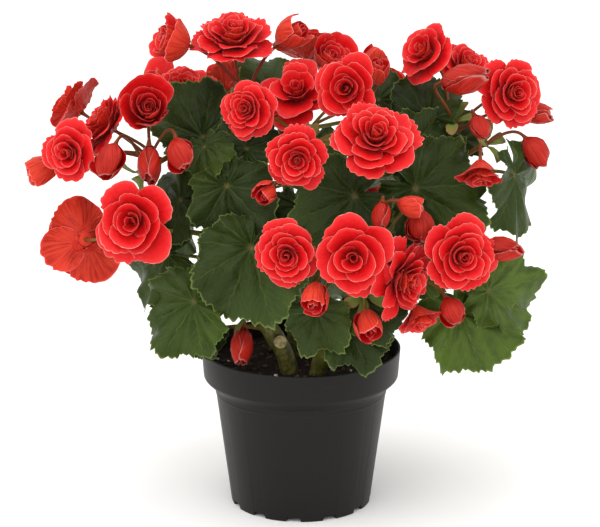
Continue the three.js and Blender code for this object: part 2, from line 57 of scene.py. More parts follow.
# The pot's section in mm: radii are outside ones, and heights are from the table.
POT = {
    "collar_radius": 63.6, "collar_foot": 86, "shoulder_foot": 79, "body_radius": 56.2,
    "foot_radius": 46, "floor": 4, "floor_thickness": 1.8, "foot_ring": 2.6, "pad_radius": 9,
    "ridge_at": 75.6, "ridge_half": 0.9, "ridge_height": 0.35,
}
NOTCH = {"count": 12, "width": 9, "height": 2.8, "turn": -6}
DRAIN = {"count": 6, "radius": 4, "at": 30, "reach": (1.0, 8.0)}
SOIL = {"edge_height": 92.5, "middle_height": 97, "fall": 3.8, "wall_gap": 0.4, "floor_gap": 0.3}

# How fine the meshes are: points round the pot, rings and points round the soil, rows from a petal's
# root to its edge, columns of the outer petals in a large and a small flower and how many fewer the
# innermost has, rows of a leaf and its columns for each large tooth, points along a stem, a petiole
# and a pedicel, and points round each stalk.
POT_COLUMNS, SOIL_ROWS, SOIL_COLUMNS = 360, 44, 150
PETAL_ROWS, PETAL_COLUMNS = 7, {"large": 47, "small": 31, "fewer": 18}
LEAF_ROWS, COLUMNS_PER_TOOTH = 10, 19
STALK_POINTS = (70, 26, 24)
SIDES = {"stem": 20, "petiole": 10, "peduncle": 12, "pedicel": 8}
# Above this width in mm a flower is large, and above this length a leaf is.
LARGE_FLOWER, LARGE_LEAF = 30, 36

# The stage: half the floor's side in metres, lamps as [name, direction, strength], how many degrees
# wide a lamp is, and the sky's strength. The camera's sensor and lens, in mm, give the plant the
# width that it has in the photograph. It aims at the plant's middle, at that height in metres, and
# its shift is a pixel or so of a picture that is 600 wide.
FLOOR_REACH = 15.0
LAMPS = (("key", (-0.45, -0.7, 1.1), 1.9), ("fill", (0.95, -0.35, 0.5), 0.6))
LAMP_WIDTH, SKY_STRENGTH = 90, 0.95
SENSOR_WIDTH, FOCAL_LENGTH, AIM_HEIGHT = 36, 139.1, 0.16
FRAME_SHIFT = (-1 / 600, 1.4 / 600)

# A UV map's name and the two values that it takes, a young stalk's values, and a colour's settings.
PETAL_MAP = ("petal_map", "across", "reach")
BLADE_MAP = ("blade_map", "blade_x", "blade_y")
YOUNG = {"old": 0, "cut": 0}
COLOUR = {"subtype": "COLOR", "size": 4, "min": 0, "max": 1}

# The plant's plan, in millimetres, with +Z up and -Y to the front. A direction is a yaw, 0 to the
# front and 90 to +X, and a pitch above the horizon, in degrees.
# A leaf row is [share of the stem where it leaves, end of petiole, yaw, pitch, roll of the tip from
# straight down, length, brightness of its green, which is partly painted light: the leaves that the
# light reaches more are given a brighter green]. A spray row has the point where its stalk forks, how
# red the stalk is, and its flowers as [name, form, middle, yaw, pitch, width].
STEMS = [
    {
        "name": "leafy_stem_left", "radii": [6.4, 3.2],
        "path": [[-6, -22, 68], [-9, -28, 104], [-24, -30, 134], [-50, -8, 190], [-70, 2, 232]],
        "stub": {"from": 0.28, "end": [-13, -42, 121]},
        "leaves": [
            [0.95, [-62, -12, 247], -10, 25, 176, 38, 0.1],
            [0.9, [-60, -30, 245], -25, 45, 20, 22, 0.25],
            [0.94, [-34, -32, 244], 0, 30, 150, 28, 0.1],
            [0.66, [-46, -46, 224], -4, 20, 8, 36, 0.15],
            [0.42, [-31, -63, 189], 2, 22, -22, 46, 0.24],
            [0.36, [-67, -50, 150], -20, 15, -62, 38, 0.42],
            [0.5, [-84, -22, 173], -35, 20, -66, 38, 0.4],
            [0.66, [-76, -16, 207], -35, 35, -70, 34, 0.2],
            [0.3, [-60, -22, 122], -20, 30, -20, 18, 0.1],
        ],
        "sprays": [
            {"from": 0.98, "fork": [-102, -14, 222], "red": 0.8, "flowers": [
                ["bud_left_inner", "bud", [-75, -50, 246], 20, -50, 19],
                ["bud_left_middle", "bud", [-94, -44, 238], 0, -60, 21],
                ["bud_left_front", "bud", [-118, -49, 242], -30, -50, 20],
                ["bloom_left_cup", "cupped", [-95, -30, 269], 5, 30, 36],
                ["bloom_left_side", "full", [-123, -12, 256], -80, 40, 42],
                ["bloom_left_far", "full", [-144, -38, 243], -25, 10, 38],
                ["bloom_left_back", "full", [-146, 20, 260], -115, 30, 38],
                ["bud_left_far", "opening", [-163, -12, 225], -80, -20, 20],
            ]},
            {"from": 0.86, "fork": [-74, 14, 240], "red": 0.6, "flowers": [
                ["bloom_left_top", "full", [-75, 24, 270], 10, 55, 48],
                ["bloom_left_rear", "cupped", [-94, 54, 264], -70, 40, 34],
            ]},
            {"from": 0.6, "fork": [-92, -30, 190], "red": 0.2, "flowers": [
                ["bloom_left_low", "full", [-103, -66, 207], -12, 8, 56],
                ["bloom_left_turned", "full", [-139, -28, 186], -155, -5, 56],
            ]},
            {"from": 0.34, "fork": [-34, -36, 138], "red": 0.7, "flowers": [
                ["bud_over_soil", "bud", [-38, -42, 120], -20, -70, 20],
            ]},
        ],
    },
    {
        "name": "leafy_stem_right", "radii": [6.2, 3.2],
        "path": [[18, -8, 68], [24, -10, 108], [48, -6, 150], [78, -2, 194], [94, 2, 228]],
        "leaves": [
            [0.74, [71, -44, 222], 14, 25, 54, 48, 0.2],
            [0.84, [69, -25, 241], 10, 35, 66, 38, 0.2],
            [0.9, [80, -4, 258], -10, 30, 176, 30, 0.1],
            [0.98, [101, 8, 242], 20, 30, 110, 22, 0.3],
            [0.8, [134, -18, 224], 62, 10, 0, 44, 0.32],
            [0.5, [118, -40, 154], 26, 35, 58, 38, 0.9],
            [0.4, [98, -48, 145], 16, 35, 16, 42, 0.9],
        ],
        "sprays": [
            {"from": 0.98, "fork": [96, -4, 256], "red": 0.8, "flowers": [
                ["bud_right_top", "bud", [99, -34, 289], 60, 15, 26],
                ["bloom_right_side", "full", [78, 2, 299], -50, 35, 44],
                ["bloom_right_top", "full", [106, 28, 285], 40, 45, 40],
                ["bloom_right_far", "full", [133, -10, 275], 28, 12, 46],
                ["bud_right_far", "bud", [148, 6, 260], 80, 0, 18],
            ]},
            {"from": 0.9, "fork": [118, -14, 244], "red": 0.9, "flowers": [
                ["bud_right_low", "bud", [148, -6, 238], 70, -50, 18],
                ["bud_right_hanging", "bud", [111, -38, 260], 40, -50, 15],
                ["bloom_right_hanging", "cupped", [111, -50, 232], 0, -60, 29],
            ]},
        ],
    },
    {
        "name": "leafy_stem_front", "radii": [6, 3.2],
        "path": [[8, -26, 68], [12, -32, 104], [24, -46, 136], [36, -56, 168]],
        "leaves": [
            [0.36, [28, -71, 141], 4, 35, 26, 30, 0.2],
            [0.5, [10, -80, 152], -8, 40, -10, 26, 0.26],
            [0.7, [37, -75, 155], 6, 40, 36, 27, 0.25],
            [0.96, [66, -54, 175], 20, 35, 70, 32, 0.7],
        ],
        "sprays": [
            {"from": 1, "fork": [46, -80, 180], "red": 0.5, "flowers": [
                ["bud_front_inner", "bud", [48, -95, 218], -10, -50, 16],
                ["bud_front_top", "opening", [66, -88, 223], 80, -10, 15],
                ["bloom_front_left", "full", [-8, -98, 194], -8, 5, 42],
                ["bloom_front_middle", "full", [31, -110, 196], -3, 5, 52],
                ["bloom_front_turned", "full", [62, -94, 177], 50, -5, 44],
                ["bloom_front_right", "full", [97, -88, 190], 15, 8, 50],
                ["bud_front_right", "bud", [121, -68, 190], 75, 5, 20],
                ["bud_front_middle", "bud", [73, -76, 207], 0, -60, 18],
            ]},
            {"from": 0.86, "fork": [40, -78, 162], "red": 0.3, "flowers": [
                ["bud_front_low_left", "opening", [8, -104, 170], -10, -30, 20],
                ["bud_front_lowest", "opening", [41, -98, 151], 10, -30, 20],
                ["bloom_front_low", "cupped", [73, -86, 150], 30, -50, 27],
                ["bud_front_low_right", "bud", [92, -86, 156], 40, -50, 16],
            ]},
        ],
    },
    {
        "name": "leafy_stem_middle", "radii": [6, 3],
        "path": [[-2, 8, 68], [-4, 8, 120], [-6, 2, 184], [-12, 4, 246]],
        "leaves": [
            [0.72, [33, -60, 221], 0, 20, -68, 43, 0.15],
            [0.5, [-2, -36, 208], 0, 30, 0, 30, 0.2],
            [0.9, [-18, 22, 270], -10, 40, 180, 30, 0.35],
            [0.94, [50, 22, 264], 10, 40, 170, 26, 0.2],
        ],
        "sprays": [
            {"from": 1, "fork": [-40, 4, 274], "red": 1, "flowers": [
                ["bloom_crown", "full", [-42, 0, 309], 0, 66, 54],
                ["bloom_crown_left", "cupped", [-80, -3, 307], -70, 20, 32],
                ["bud_crown_right", "opening", [-6, 6, 309], 60, 35, 22],
            ]},
            {"from": 0.92, "fork": [6, -30, 246], "red": 0.6, "flowers": [
                ["bud_middle_low", "opening", [-20, -84, 229], -20, -10, 16],
                ["bloom_middle_low", "full", [-2, -82, 249], -2, 0, 40],
                ["bloom_middle_left", "full", [-33, -44, 272], -25, 15, 38],
                ["bloom_middle_large", "full", [45, -76, 261], 8, 42, 56],
                ["bloom_middle_right", "full", [28, -50, 286], -8, 12, 42],
                ["bloom_middle_rear", "full", [-2, -13, 276], -10, 45, 40],
                ["bloom_middle_top", "cupped", [18, 13, 291], 30, 50, 34],
                ["bud_middle_top", "opening", [49, 2, 286], 10, 60, 17],
            ]},
        ],
    },
    {
        "name": "leafy_stem_back", "radii": [6, 3],
        "path": [[4, 28, 68], [6, 36, 108], [12, 54, 156], [8, 66, 206], [4, 68, 236]],
        "leaves": [
            [0.36, [-28, 74, 158], 200, 35, 30, 46, 0.3],
            [0.42, [46, 76, 160], 160, 35, -30, 46, 0.5],
            [0.7, [-48, 64, 206], 215, 40, 40, 44, 0.2],
            [0.74, [60, 62, 206], 140, 40, -40, 44, 0.2],
            [0.9, [6, 88, 222], 180, 40, 0, 40, 0.3],
            [0.5, [-78, 44, 172], 240, 35, 20, 42, 0.4],
            [0.56, [88, 42, 176], 120, 35, -20, 42, 0.4],
            [0.24, [20, 72, 130], 175, 45, -10, 30, 0.6],
        ],
        "sprays": [
            {"from": 1, "fork": [6, 70, 256], "red": 0.7, "flowers": [
                ["bloom_back_top", "full", [4, 72, 290], 170, 60, 48],
                ["bloom_back_left", "full", [-52, 92, 262], 205, 35, 46],
                ["bloom_back_right", "full", [58, 84, 258], 150, 30, 48],
                ["bud_back_top", "opening", [46, 56, 284], 110, 50, 17],
                ["bud_back_left", "bud", [-26, 108, 240], 190, -40, 18],
            ]},
            {"from": 0.8, "fork": [8, 96, 190], "red": 0.4, "flowers": [
                ["bloom_back_middle", "full", [10, 124, 202], 180, 10, 52],
                ["bloom_back_low", "cupped", [-42, 106, 184], 200, 0, 36],
                ["bud_back_low", "bud", [48, 110, 184], 160, -40, 18],
            ]},
        ],
    },
]

# How far in front of its seat the middle of a flower is, as a share of its width.
FORWARD = {"full": 0.16, "cupped": 0.3, "opening": 0.5, "bud": 0.5}

# The petals of each form from the outermost to the innermost, as [first, last] of each measure.
# Leans are degrees from the flower's axis, lengths are shares of the flower's width, `bend` is the
# power that the step from first to last follows, `apart` is the turn between two petals, and `tight`
# is the least radius that a petal is bent round, as a share of its half width.
FORMS = {
    "full": {
        "count": 25, "bend": 0.9, "tight": 0.45, "apart": [72, 104], "root": [64, 3], "tip": [106, -6],
        "length": [0.48, 0.3], "half": [0.29, 0.1], "cup": [0.08, 0.03], "start": [0.09, 0.018],
        "base": [0.0, 0.05], "curl": [0.1, 0.05], "ruffle": [0.1, 0.06],
    },
    "cupped": {
        "count": 17, "bend": 0.7, "tight": 0.45, "apart": [96, 104], "root": [64, 4], "tip": [14, -10],
        "length": [0.8, 0.46], "half": [0.48, 0.12], "cup": [0.04, 0.03], "start": [0.09, 0.018],
        "base": [0.0, 0.06], "curl": [0.06, 0.03], "ruffle": [0.07, 0.05],
    },
    "opening": {
        "count": 9, "bend": 0.7, "tight": 0.55, "apart": [134, 112], "root": [62, 8], "tip": [-26, -12],
        "length": [1.2, 0.9], "half": [0.6, 0.17], "cup": [0.02, 0.02], "start": [0.1, 0.02],
        "base": [0.0, 0.08], "curl": [0.06, 0.02], "ruffle": [0.04, 0.03],
    },
    "bud": {
        "count": 4, "bend": 1.0, "tight": 0.58, "apart": [180, 110], "root": [68, 58],
        "tip": [-58, -70], "length": [1.48, 1.32], "half": [0.74, 0.58], "cup": [0.02, 0.02],
        "start": [0.08, 0.06],
        "base": [0.0, 0.02], "curl": [0.06, 0.03], "ruffle": [0.09, 0.06],
    },
}

# Measures that differ from the form's in some flowers: a broad flower has few petals, wide to its
# middle, and a cup holds such petals steeper. A loose one has fewer and wider petals than the form, a
# frilled one has many narrow ruffled ones, and a trumpet flares at its mouth.
BROAD = {
    "count": 14, "apart": [80, 122], "root": [66, 4], "tip": [106, 4], "length": [0.48, 0.34],
    "half": [0.31, 0.2], "start": [0.09, 0.02], "ruffle": [0.1, 0.08],
}
CUP = {
    "count": 15, "apart": [80, 118], "root": [66, 10], "tip": [100, -8], "length": [0.48, 0.4],
    "half": [0.31, 0.22], "start": [0.09, 0.03],
}
LOOSE = {"count": 17, "half": [0.38, 0.13], "apart": [84, 112], "ruffle": [0.12, 0.06]}
FRILLED = {"count": 30, "half": [0.24, 0.1], "ruffle": [0.16, 0.08], "tip": [110, 4]}
TRUMPET = {
    "bend": 0.9, "apart": [78, 104], "root": [38, 3], "tip": [66, -8], "length": [0.64, 0.45],
    "half": [0.38, 0.12],
}
STYLES = {
    "bloom_left_low": BROAD,
    "bloom_left_top": FRILLED,
    "bloom_left_far": LOOSE,
    "bloom_left_back": {**LOOSE, "length": [0.6, 0.34]},
    "bloom_left_side": {**FRILLED, "length": [0.6, 0.36]},
    "bloom_left_turned": {**LOOSE, "half": [0.36, 0.13], "apart": [100, 112], "ruffle": [0.24, 0.06]},
    "bloom_crown": FRILLED,
    "bloom_middle_large": FRILLED,
    "bloom_middle_right": CUP,
    "bloom_middle_rear": {**LOOSE, "length": [0.74, 0.34], "tip": [110, -4]},
    "bloom_front_middle": BROAD,
    "bloom_front_turned": {**FRILLED, "length": [0.58, 0.34]},
    "bloom_front_low": TRUMPET,
    "bloom_right_side": LOOSE,
    "bloom_right_hanging": TRUMPET,
    "bloom_back_right": LOOSE,
    "bloom_back_top": FRILLED,
    "bloom_back_low": TRUMPET,
}

# How far some shut buds are turned about their own axis, in degrees, to show their narrow side.
ROLLED = {
    "bud_left_inner": 50, "bud_left_middle": 85, "bud_over_soil": 70, "bud_front_inner": 65,
    "bud_front_low_right": 40, "bud_right_low": 50, "bud_back_left": 60,
}

# The cone in an open flower's middle, as rows of [radius, height] in shares of its width.
CONE = np.array([
    [0.05, -0.005], [0.1, 0.012], [0.105, 0.04], [0.06, 0.09], [0.03, 0.13], [0.012, 0.15],
])

# A bract's measures, in mm and degrees, as a petal's.
BRACT = {
    "root": 40, "half": 4.2, "cup": 0.3, "start": 1.6, "base": 0, "curl": 0.1, "ruffle": 0.06,
    "twist": 0.05, "tight": 0.6, "waves": 2, "scallops": 12, "notch": 0.05, "frill": 0, "thick": 0.35,
}


def facing(yaw, pitch):
    """The direction of a yaw and pitch, with the directions to its right and up as seen from ahead."""
    a, p = math.radians(yaw), math.radians(pitch)
    out = np.array([math.sin(a) * math.cos(p), -math.cos(a) * math.cos(p), math.sin(p)])
    right = np.array([math.cos(a), math.sin(a), 0.0])
    up = np.array([-math.sin(a) * math.sin(p), math.cos(a) * math.sin(p), math.cos(p)])
    return out, right, up


def chance(seed):
    """A repeatable number from 0 to 1 for a seed: the fraction of a large sine."""
    wave = math.sin(seed * 12.9898 + 4.1414) * 43758.5453
    return wave - math.floor(wave)


def smooth(value, low, high):
    """0 below low, 1 above high, and an even S between them: 3 t squared less 2 t cubed."""
    t = np.clip((value - low) / (high - low), 0, 1)
    return t * t * (3 - 2 * t)


def unit(vectors):
    """The vectors, each made one long."""
    return vectors / np.maximum(np.linalg.norm(vectors, axis=-1, keepdims=True), 1e-12)


def waves(x, y, size, seed, count=7):
    """Soft bumps from -1 to 1: the mean of plane waves in random directions, `size` mm long."""
    draw = np.random.default_rng(seed)
    shape = (count,) + (1,) * np.ndim(x)
    turn, phase = (draw.uniform(0, TURN, count).reshape(shape) for _ in range(2))
    pitch = (TURN / size * draw.uniform(0.7, 1.5, count)).reshape(shape)
    return np.mean(np.sin(pitch * (x * np.cos(turn) + y * np.sin(turn)) + phase), axis=0) * 1.8


def round_angles(count, start=0):
    """One row of angles that are spaced evenly round a circle."""
    return np.linspace(start, start + TURN, count + 1)[None, :-1]


def lathe(radius, height, columns):
    """Rings round the Z axis: each row's radius and height, turned through a circle."""
    angle = round_angles(columns)
    return np.stack(np.broadcast_arrays(radius * np.cos(angle), radius * np.sin(angle), height), -1)


class Surface:
    """Collects the parts of one mesh: points in mm, faces of three or four, and values by name."""

    def __init__(self):
        self.points, self.faces, self.values, self.count = [], [], {}, 0

    def add(self, points, faces, **values):
        """Adds a part. Its faces count its own points, and a value is one number or one per point."""
        points = np.asarray(points, float).reshape(-1, 3)
        self.points.append(points)
        self.faces.extend(np.asarray(part) + self.count for part in faces if len(part))
        for name, value in values.items():
            spread = np.broadcast_to(np.asarray(value, float).ravel(), (len(points),))
            self.values.setdefault(name, []).append(spread)
        self.count += len(points)

    def piece(self, name, material, nodes=(), slot=None, uv=None, smooth_faces=True):
        """Makes the mesh object, in metres, and says what carries it and which solids it stands for.
        `slot` is not used. `uv` names a UV map and the two values that it takes, and every other value
        becomes an attribute."""
        corners = np.concatenate([part.ravel() for part in self.faces])
        sizes = np.concatenate([np.full(len(part), part.shape[1]) for part in self.faces])
        mesh = bpy.data.meshes.new(name)
        mesh.vertices.add(self.count)
        mesh.vertices.foreach_set("co", (np.concatenate(self.points) * MM).astype(np.float32).ravel())
        mesh.loops.add(len(corners))
        mesh.loops.foreach_set("vertex_index", corners.astype(np.int32))
        mesh.polygons.add(len(sizes))
        starts = np.concatenate([[0], np.cumsum(sizes)[:-1]])
        mesh.polygons.foreach_set("loop_start", starts.astype(np.int32))
        mesh.update(calc_edges=True)
        mesh.validate()
        mesh.polygons.foreach_set("use_smooth", np.full(len(sizes), smooth_faces))
        mesh.set_sharp_from_angle(angle=math.radians(SHARP_SHEET))
        values = {label: np.concatenate(parts) for label, parts in self.values.items()}
        if uv:
            pair = np.stack([values.pop(label) for label in uv[1:]], 1)
            layer = mesh.uv_layers.new(name=uv[0])
            layer.data.foreach_set("uv", pair[corners].astype(np.float32).ravel())
        for label, value in values.items():
            attribute = mesh.attributes.new(label, "FLOAT", "POINT")
            attribute.data.foreach_set("value", value.astype(np.float32))
        mesh.materials.append(material)
        made = bpy.data.objects.new(name, mesh)
        bpy.context.scene.collection.objects.link(made)
        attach(made, ROOT)
        if nodes:
            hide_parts(*nodes)
        return made


def quads(index, flip=False):
    """The four-sided faces of a grid of point numbers, row by row."""
    a, b, c, d = index[:-1, :-1], index[:-1, 1:], index[1:, 1:], index[1:, :-1]
    return np.stack((a, d, c, b) if flip else (a, b, c, d), -1).reshape(-1, 4)


def fan(pole, ring, flip=False):
    """The triangles from one point to a row of points."""
    a, b = ring[:-1], ring[1:]
    hub = np.full(len(a), pole)
    return np.stack((hub, b, a) if flip else (hub, a, b), -1)


def wrapped(index):
    """A grid of point numbers with its first column repeated at its end."""
    return np.concatenate([index, index[:, :1]], 1)


def add_rings(surface, rows, low, high, **values):
    """A closed skin: quads between rows of rings, and a fan to one point at either end."""
    count = rows.shape[0] * rows.shape[1]
    index = wrapped(np.arange(count).reshape(rows.shape[:2]))
    faces = [quads(index), fan(count, index[0], True), fan(count + 1, index[-1])]
    surface.add(np.concatenate([rows.reshape(-1, 3), [low, high]]), faces, **values)


def add_tube(surface, path, radii, sides, **values):
    """A closed round tube: at each point of the path a ring of `sides` points at that radius, square
    to the path, and a point in the middle of each end. Each value is one number or one per ring."""
    path, radii = np.asarray(path, float), np.asarray(radii, float)
    along = unit(np.gradient(path, axis=0))
    axes = np.eye(3)
    least = axes[np.argmax(np.min(np.linalg.norm(np.cross(along[None], axes[:, None]), axis=-1), 1))]
    first = unit(np.cross(along, least))
    second = np.cross(along, first)
    angle = round_angles(sides)[..., None]
    ring = first[:, None] * np.cos(angle) + second[:, None] * np.sin(angle)
    for name, value in values.items():
        value = np.broadcast_to(value, (len(path),))
        values[name] = np.concatenate([np.repeat(value, sides), value[[0, -1]]])
    add_rings(surface, path[:, None] + ring * radii[:, None, None], path[0], path[-1], **values)


def add_blade(surface, front, back, **values):
    """A thin closed sheet from two grids of points that meet along their edge. The first row of both
    is the one point where the sheet is held, and the other three edges are shared. The value `under`
    is 0 on the front and 1 on the back."""
    rows, columns = front.shape[:2]
    inner = np.zeros((rows, columns), bool)
    inner[1:-1, 1:-1] = True
    front_index = np.arange(rows * columns).reshape(rows, columns)
    front_index[0] = 0
    back_index = front_index.copy()
    back_index[inner] = rows * columns + np.arange(inner.sum())
    faces = [
        quads(front_index[1:]), fan(0, front_index[1], True),
        quads(back_index[1:], True), fan(0, back_index[1]),
    ]
    points = np.concatenate([front.reshape(-1, 3), back[inner]])
    spread = {"under": np.concatenate([np.zeros(rows * columns), np.ones(inner.sum())])}
    for name, value in values.items():
        value = np.broadcast_to(value, (rows, columns))
        spread[name] = np.concatenate([value.ravel(), value[inner]])
    used = np.unique(np.concatenate([part.ravel() for part in faces]))
    number = np.full(len(points), -1)
    number[used] = np.arange(len(used))
    faces = [number[part] for part in faces]
    surface.add(points[used], faces, **{name: value[used] for name, value in spread.items()})


def add_round_blade(surface, front, back, **values):
    """A thin closed sheet from two polar grids that share their last ring. Row 0 of each is its
    middle, and the columns go all the way round. `under` is as in add_blade."""
    rows, columns = front.shape[:2]
    ring = np.arange((rows - 1) * columns).reshape(rows - 1, columns) + 1
    size = (rows - 1) * columns + 1
    under = ring + size - 1
    under[-1] = ring[-1]
    ring, under = wrapped(ring), wrapped(under)
    last = size + (rows - 2) * columns
    faces = [quads(ring), fan(0, ring[0], True), quads(under, True), fan(last, under[0])]
    flat = lambda grid: grid.reshape(-1, *grid.shape[2:])
    both = lambda a, b: np.concatenate([a[:1, 0], flat(a[1:]), flat(b[1:-1]), b[:1, 0]])
    whole = both(front, back)
    spread = {"under": np.concatenate([np.zeros(size), np.ones(len(whole) - size)])}
    for name, value in values.items():
        value = np.broadcast_to(value, (rows, columns))
        spread[name] = both(value, value)
    surface.add(whole, faces, **spread)


def along_path(path, shares):
    """The points at those shares of the path's length."""
    steps = np.linalg.norm(np.diff(path, axis=0), axis=1)
    length = np.concatenate([[0], np.cumsum(steps)])
    where = np.atleast_1d(shares) * length[-1]
    return np.stack([np.interp(where, length, path[:, k]) for k in range(3)], 1)


def path_direction(path, share):
    """The path's direction at a share of its length."""
    low, high = along_path(path, [max(share - 0.005, 0), min(share + 0.005, 1)])
    return unit(high - low)


def bezier(corners, count=120):
    """A Bezier curve of two or three spans: the corners weighted by the powers of t and 1 - t."""
    t = np.linspace(0, 1, count)[:, None]
    order = len(corners) - 1
    return sum(
        math.comb(order, k) * (1 - t) ** (order - k) * t**k * np.asarray(corner, float)
        for k, corner in enumerate(corners)
    )


def stem_path(stem, count=60):
    """A centripetal spline through the stem's points: between two points a cubic whose end slopes
    come from the neighbours' distances to the power of a half."""
    points = np.array(stem["path"], float)
    first, last = 2 * points[0] - points[1], 2 * points[-1] - points[-2]
    points = np.concatenate([[first], points, [last]])
    spans = []
    for p0, p1, p2, p3 in zip(points[:-3], points[1:-2], points[2:-1], points[3:]):
        d0, d1, d2 = (math.sqrt(np.linalg.norm(b - a)) for a, b in ((p0, p1), (p1, p2), (p2, p3)))
        m1 = d1 * ((p1 - p0) / d0 - (p2 - p0) / (d0 + d1) + (p2 - p1) / d1)
        m2 = d1 * ((p2 - p1) / d1 - (p3 - p1) / (d1 + d2) + (p3 - p2) / d2)
        t = np.linspace(0, 1, count)[:, None]
        square, cube = 3 * p2 - 3 * p1 - 2 * m1 - m2, 2 * p1 - 2 * p2 + m1 + m2
        spans.append(p1 + m1 * t + square * t**2 + cube * t**3)
    return np.concatenate([spans[0]] + [span[1:] for span in spans[1:]])


def petiole_path(stem, leaf):
    """A leaf's petiole leaves the stem upwards and comes to the blade from behind: a Bezier curve."""
    share, end, yaw, pitch, roll = leaf[:5]
    start = along_path(stem, share)[0]
    out, right, up = facing(yaw, pitch)
    finish = np.array(end) - 0.4 * out
    span = np.linalg.norm(finish - start)
    lean = math.radians(roll)
    behind = unit(0.75 * out + 0.4 * math.sin(lean) * right - 0.4 * math.cos(lean) * up)
    rise = 0.3 * span * path_direction(stem, share)
    return bezier([start, start + rise, finish - 0.35 * span * behind, finish])


def peduncle_path(stem, spray):
    """A spray's stalk leaves the stem along it and bends to the fork: a Bezier curve."""
    root = along_path(stem, spray["from"])[0]
    fork = np.array(spray["fork"], float)
    bend = root + 0.4 * np.linalg.norm(fork - root) * path_direction(stem, spray["from"])
    return bezier([root, bend, fork])


def seat_of(flower):
    """Where a flower sits on its pedicel: behind its middle."""
    _, form, middle, yaw, pitch, width = flower
    return np.array(middle) - FORWARD[form] * width * facing(yaw, pitch)[0]


def pedicel_path(peduncle, order, flower):
    """A pedicel rises from near the peduncle's end, each 2.6 mm below the one before, and meets the
    flower's seat along its axis: a Bezier curve."""
    length = float(np.linalg.norm(np.diff(peduncle, axis=0), axis=1).sum())
    start = along_path(peduncle, 1 - (1 + 2.6 * order) / length)[0]
    out = facing(flower[3], flower[4])[0]
    finish = seat_of(flower) + 0.1 * out
    span = np.linalg.norm(finish - start)
    first = start + 0.3 * (finish - start) + np.array([0, 0, 0.14 * span])
    return bezier([start, first, finish - 0.4 * span * out, finish])


def petal_outline(u):
    """A petal's half width as a share of its greatest: a quarter sine up to three quarters of its
    length, then a blunt round end."""
    rising = 0.3 + 0.7 * np.sin(np.pi / 2 * np.minimum(u, 0.75) / 0.75)
    return np.where(u < 0.75, rising, np.maximum(1 - (np.maximum(u - 0.75, 0) / 0.25) ** 2.6, 0) ** 0.5)


def add_petal(surface, size, seed, rows, columns, place, tone):
    """One petal. Its edge is an egg-shaped curve that starts and ends at the root, and the grid runs
    from the root to the edge. The middle line leans evenly from `root` to `tip`, and the petal is
    bent round the flower's axis at the middle line's distance from it, so that petals nest. It cups
    by the square of the distance across and twists. Near the edge it rolls back, ruffles by two
    sines, and is cut into small round scallops by the absolute value of a third."""
    draw = np.random.default_rng(seed)
    s = 1 - (1 - np.linspace(0, 1, rows)[:, None]) ** 1.35
    even = np.linspace(-1, 1, columns)[None]
    phi = 0.95 * np.pi * (0.5 * even + 0.5 * even**3)
    sine = lambda times: np.sin(times * phi + draw.uniform(0, TURN))
    reach = 0.5 + 0.5 * np.cos(phi)
    wander = 0.9 * sine(2) + 0.5 * sine(5)
    scallop = np.abs(np.sin(phi * size["scallops"] / 2 + wander))
    deep = 0.55 + 0.45 * sine(3)
    uneven = 0.035 * sine(3) + 0.025 * sine(6)
    cut = 1 + reach * s**5 * (size["notch"] * deep * (scallop - 1) + uneven)
    u = s * reach * cut
    side = s * np.sign(phi) * petal_outline(reach) * cut
    root, tip = math.radians(size["root"]), math.radians(size["tip"])
    spread = tip - root if abs(tip - root) > 1e-3 else 1e-3
    lean = root + spread * u
    out = size["length"] * (np.cos(root) - np.cos(lean)) / spread
    rise = size["length"] * (np.sin(lean) - np.sin(root)) / spread
    edge = np.clip((s - 0.62) / 0.38, 0, 1) ** 2
    ruffle = sine(size["waves"]) + 0.6 * sine(size["waves"] * 2.3)
    inward = size["half"] * (
        size["cup"] * side**2 + size["twist"] * side * u - size["curl"] * edge
        + size["ruffle"] * ruffle * s**3 * reach + size["frill"] * deep * (scallop - 0.6) * s**6 * reach
    )
    bend_radius = np.maximum(size["start"] + out, size["half"] * size["tight"])
    turn = size["turn"] + size["half"] * side / bend_radius
    thick = size["thick"] * np.minimum(1, 1.3 * (1 - s) + 0.35) * np.minimum(1, 4 * s)
    sheets = []
    for towards in (inward, inward - thick):
        away = size["start"] + out - towards * np.cos(lean)
        z = size["base"] + rise + towards * np.sin(lean)
        sheets.append(np.stack([away * np.cos(turn), away * np.sin(turn), z], -1))
    front, back = sheets
    back[[0, -1]] = front[[0, -1]]
    back[:, [0, -1]] = front[:, [0, -1]]
    add_blade(
        surface, place(front), place(back), across=phi / np.pi + 2 * (seed % 97),
        reach=s * np.ones_like(phi), tone=tone,
    )


def local_place(flower):
    """Turns a flower's own points, with its axis on +Z, to where the flower is."""
    out, right, up = facing(flower[3], flower[4])
    seat = seat_of(flower)
    basis = np.stack([right, up, out])
    return lambda points: points @ basis + seat


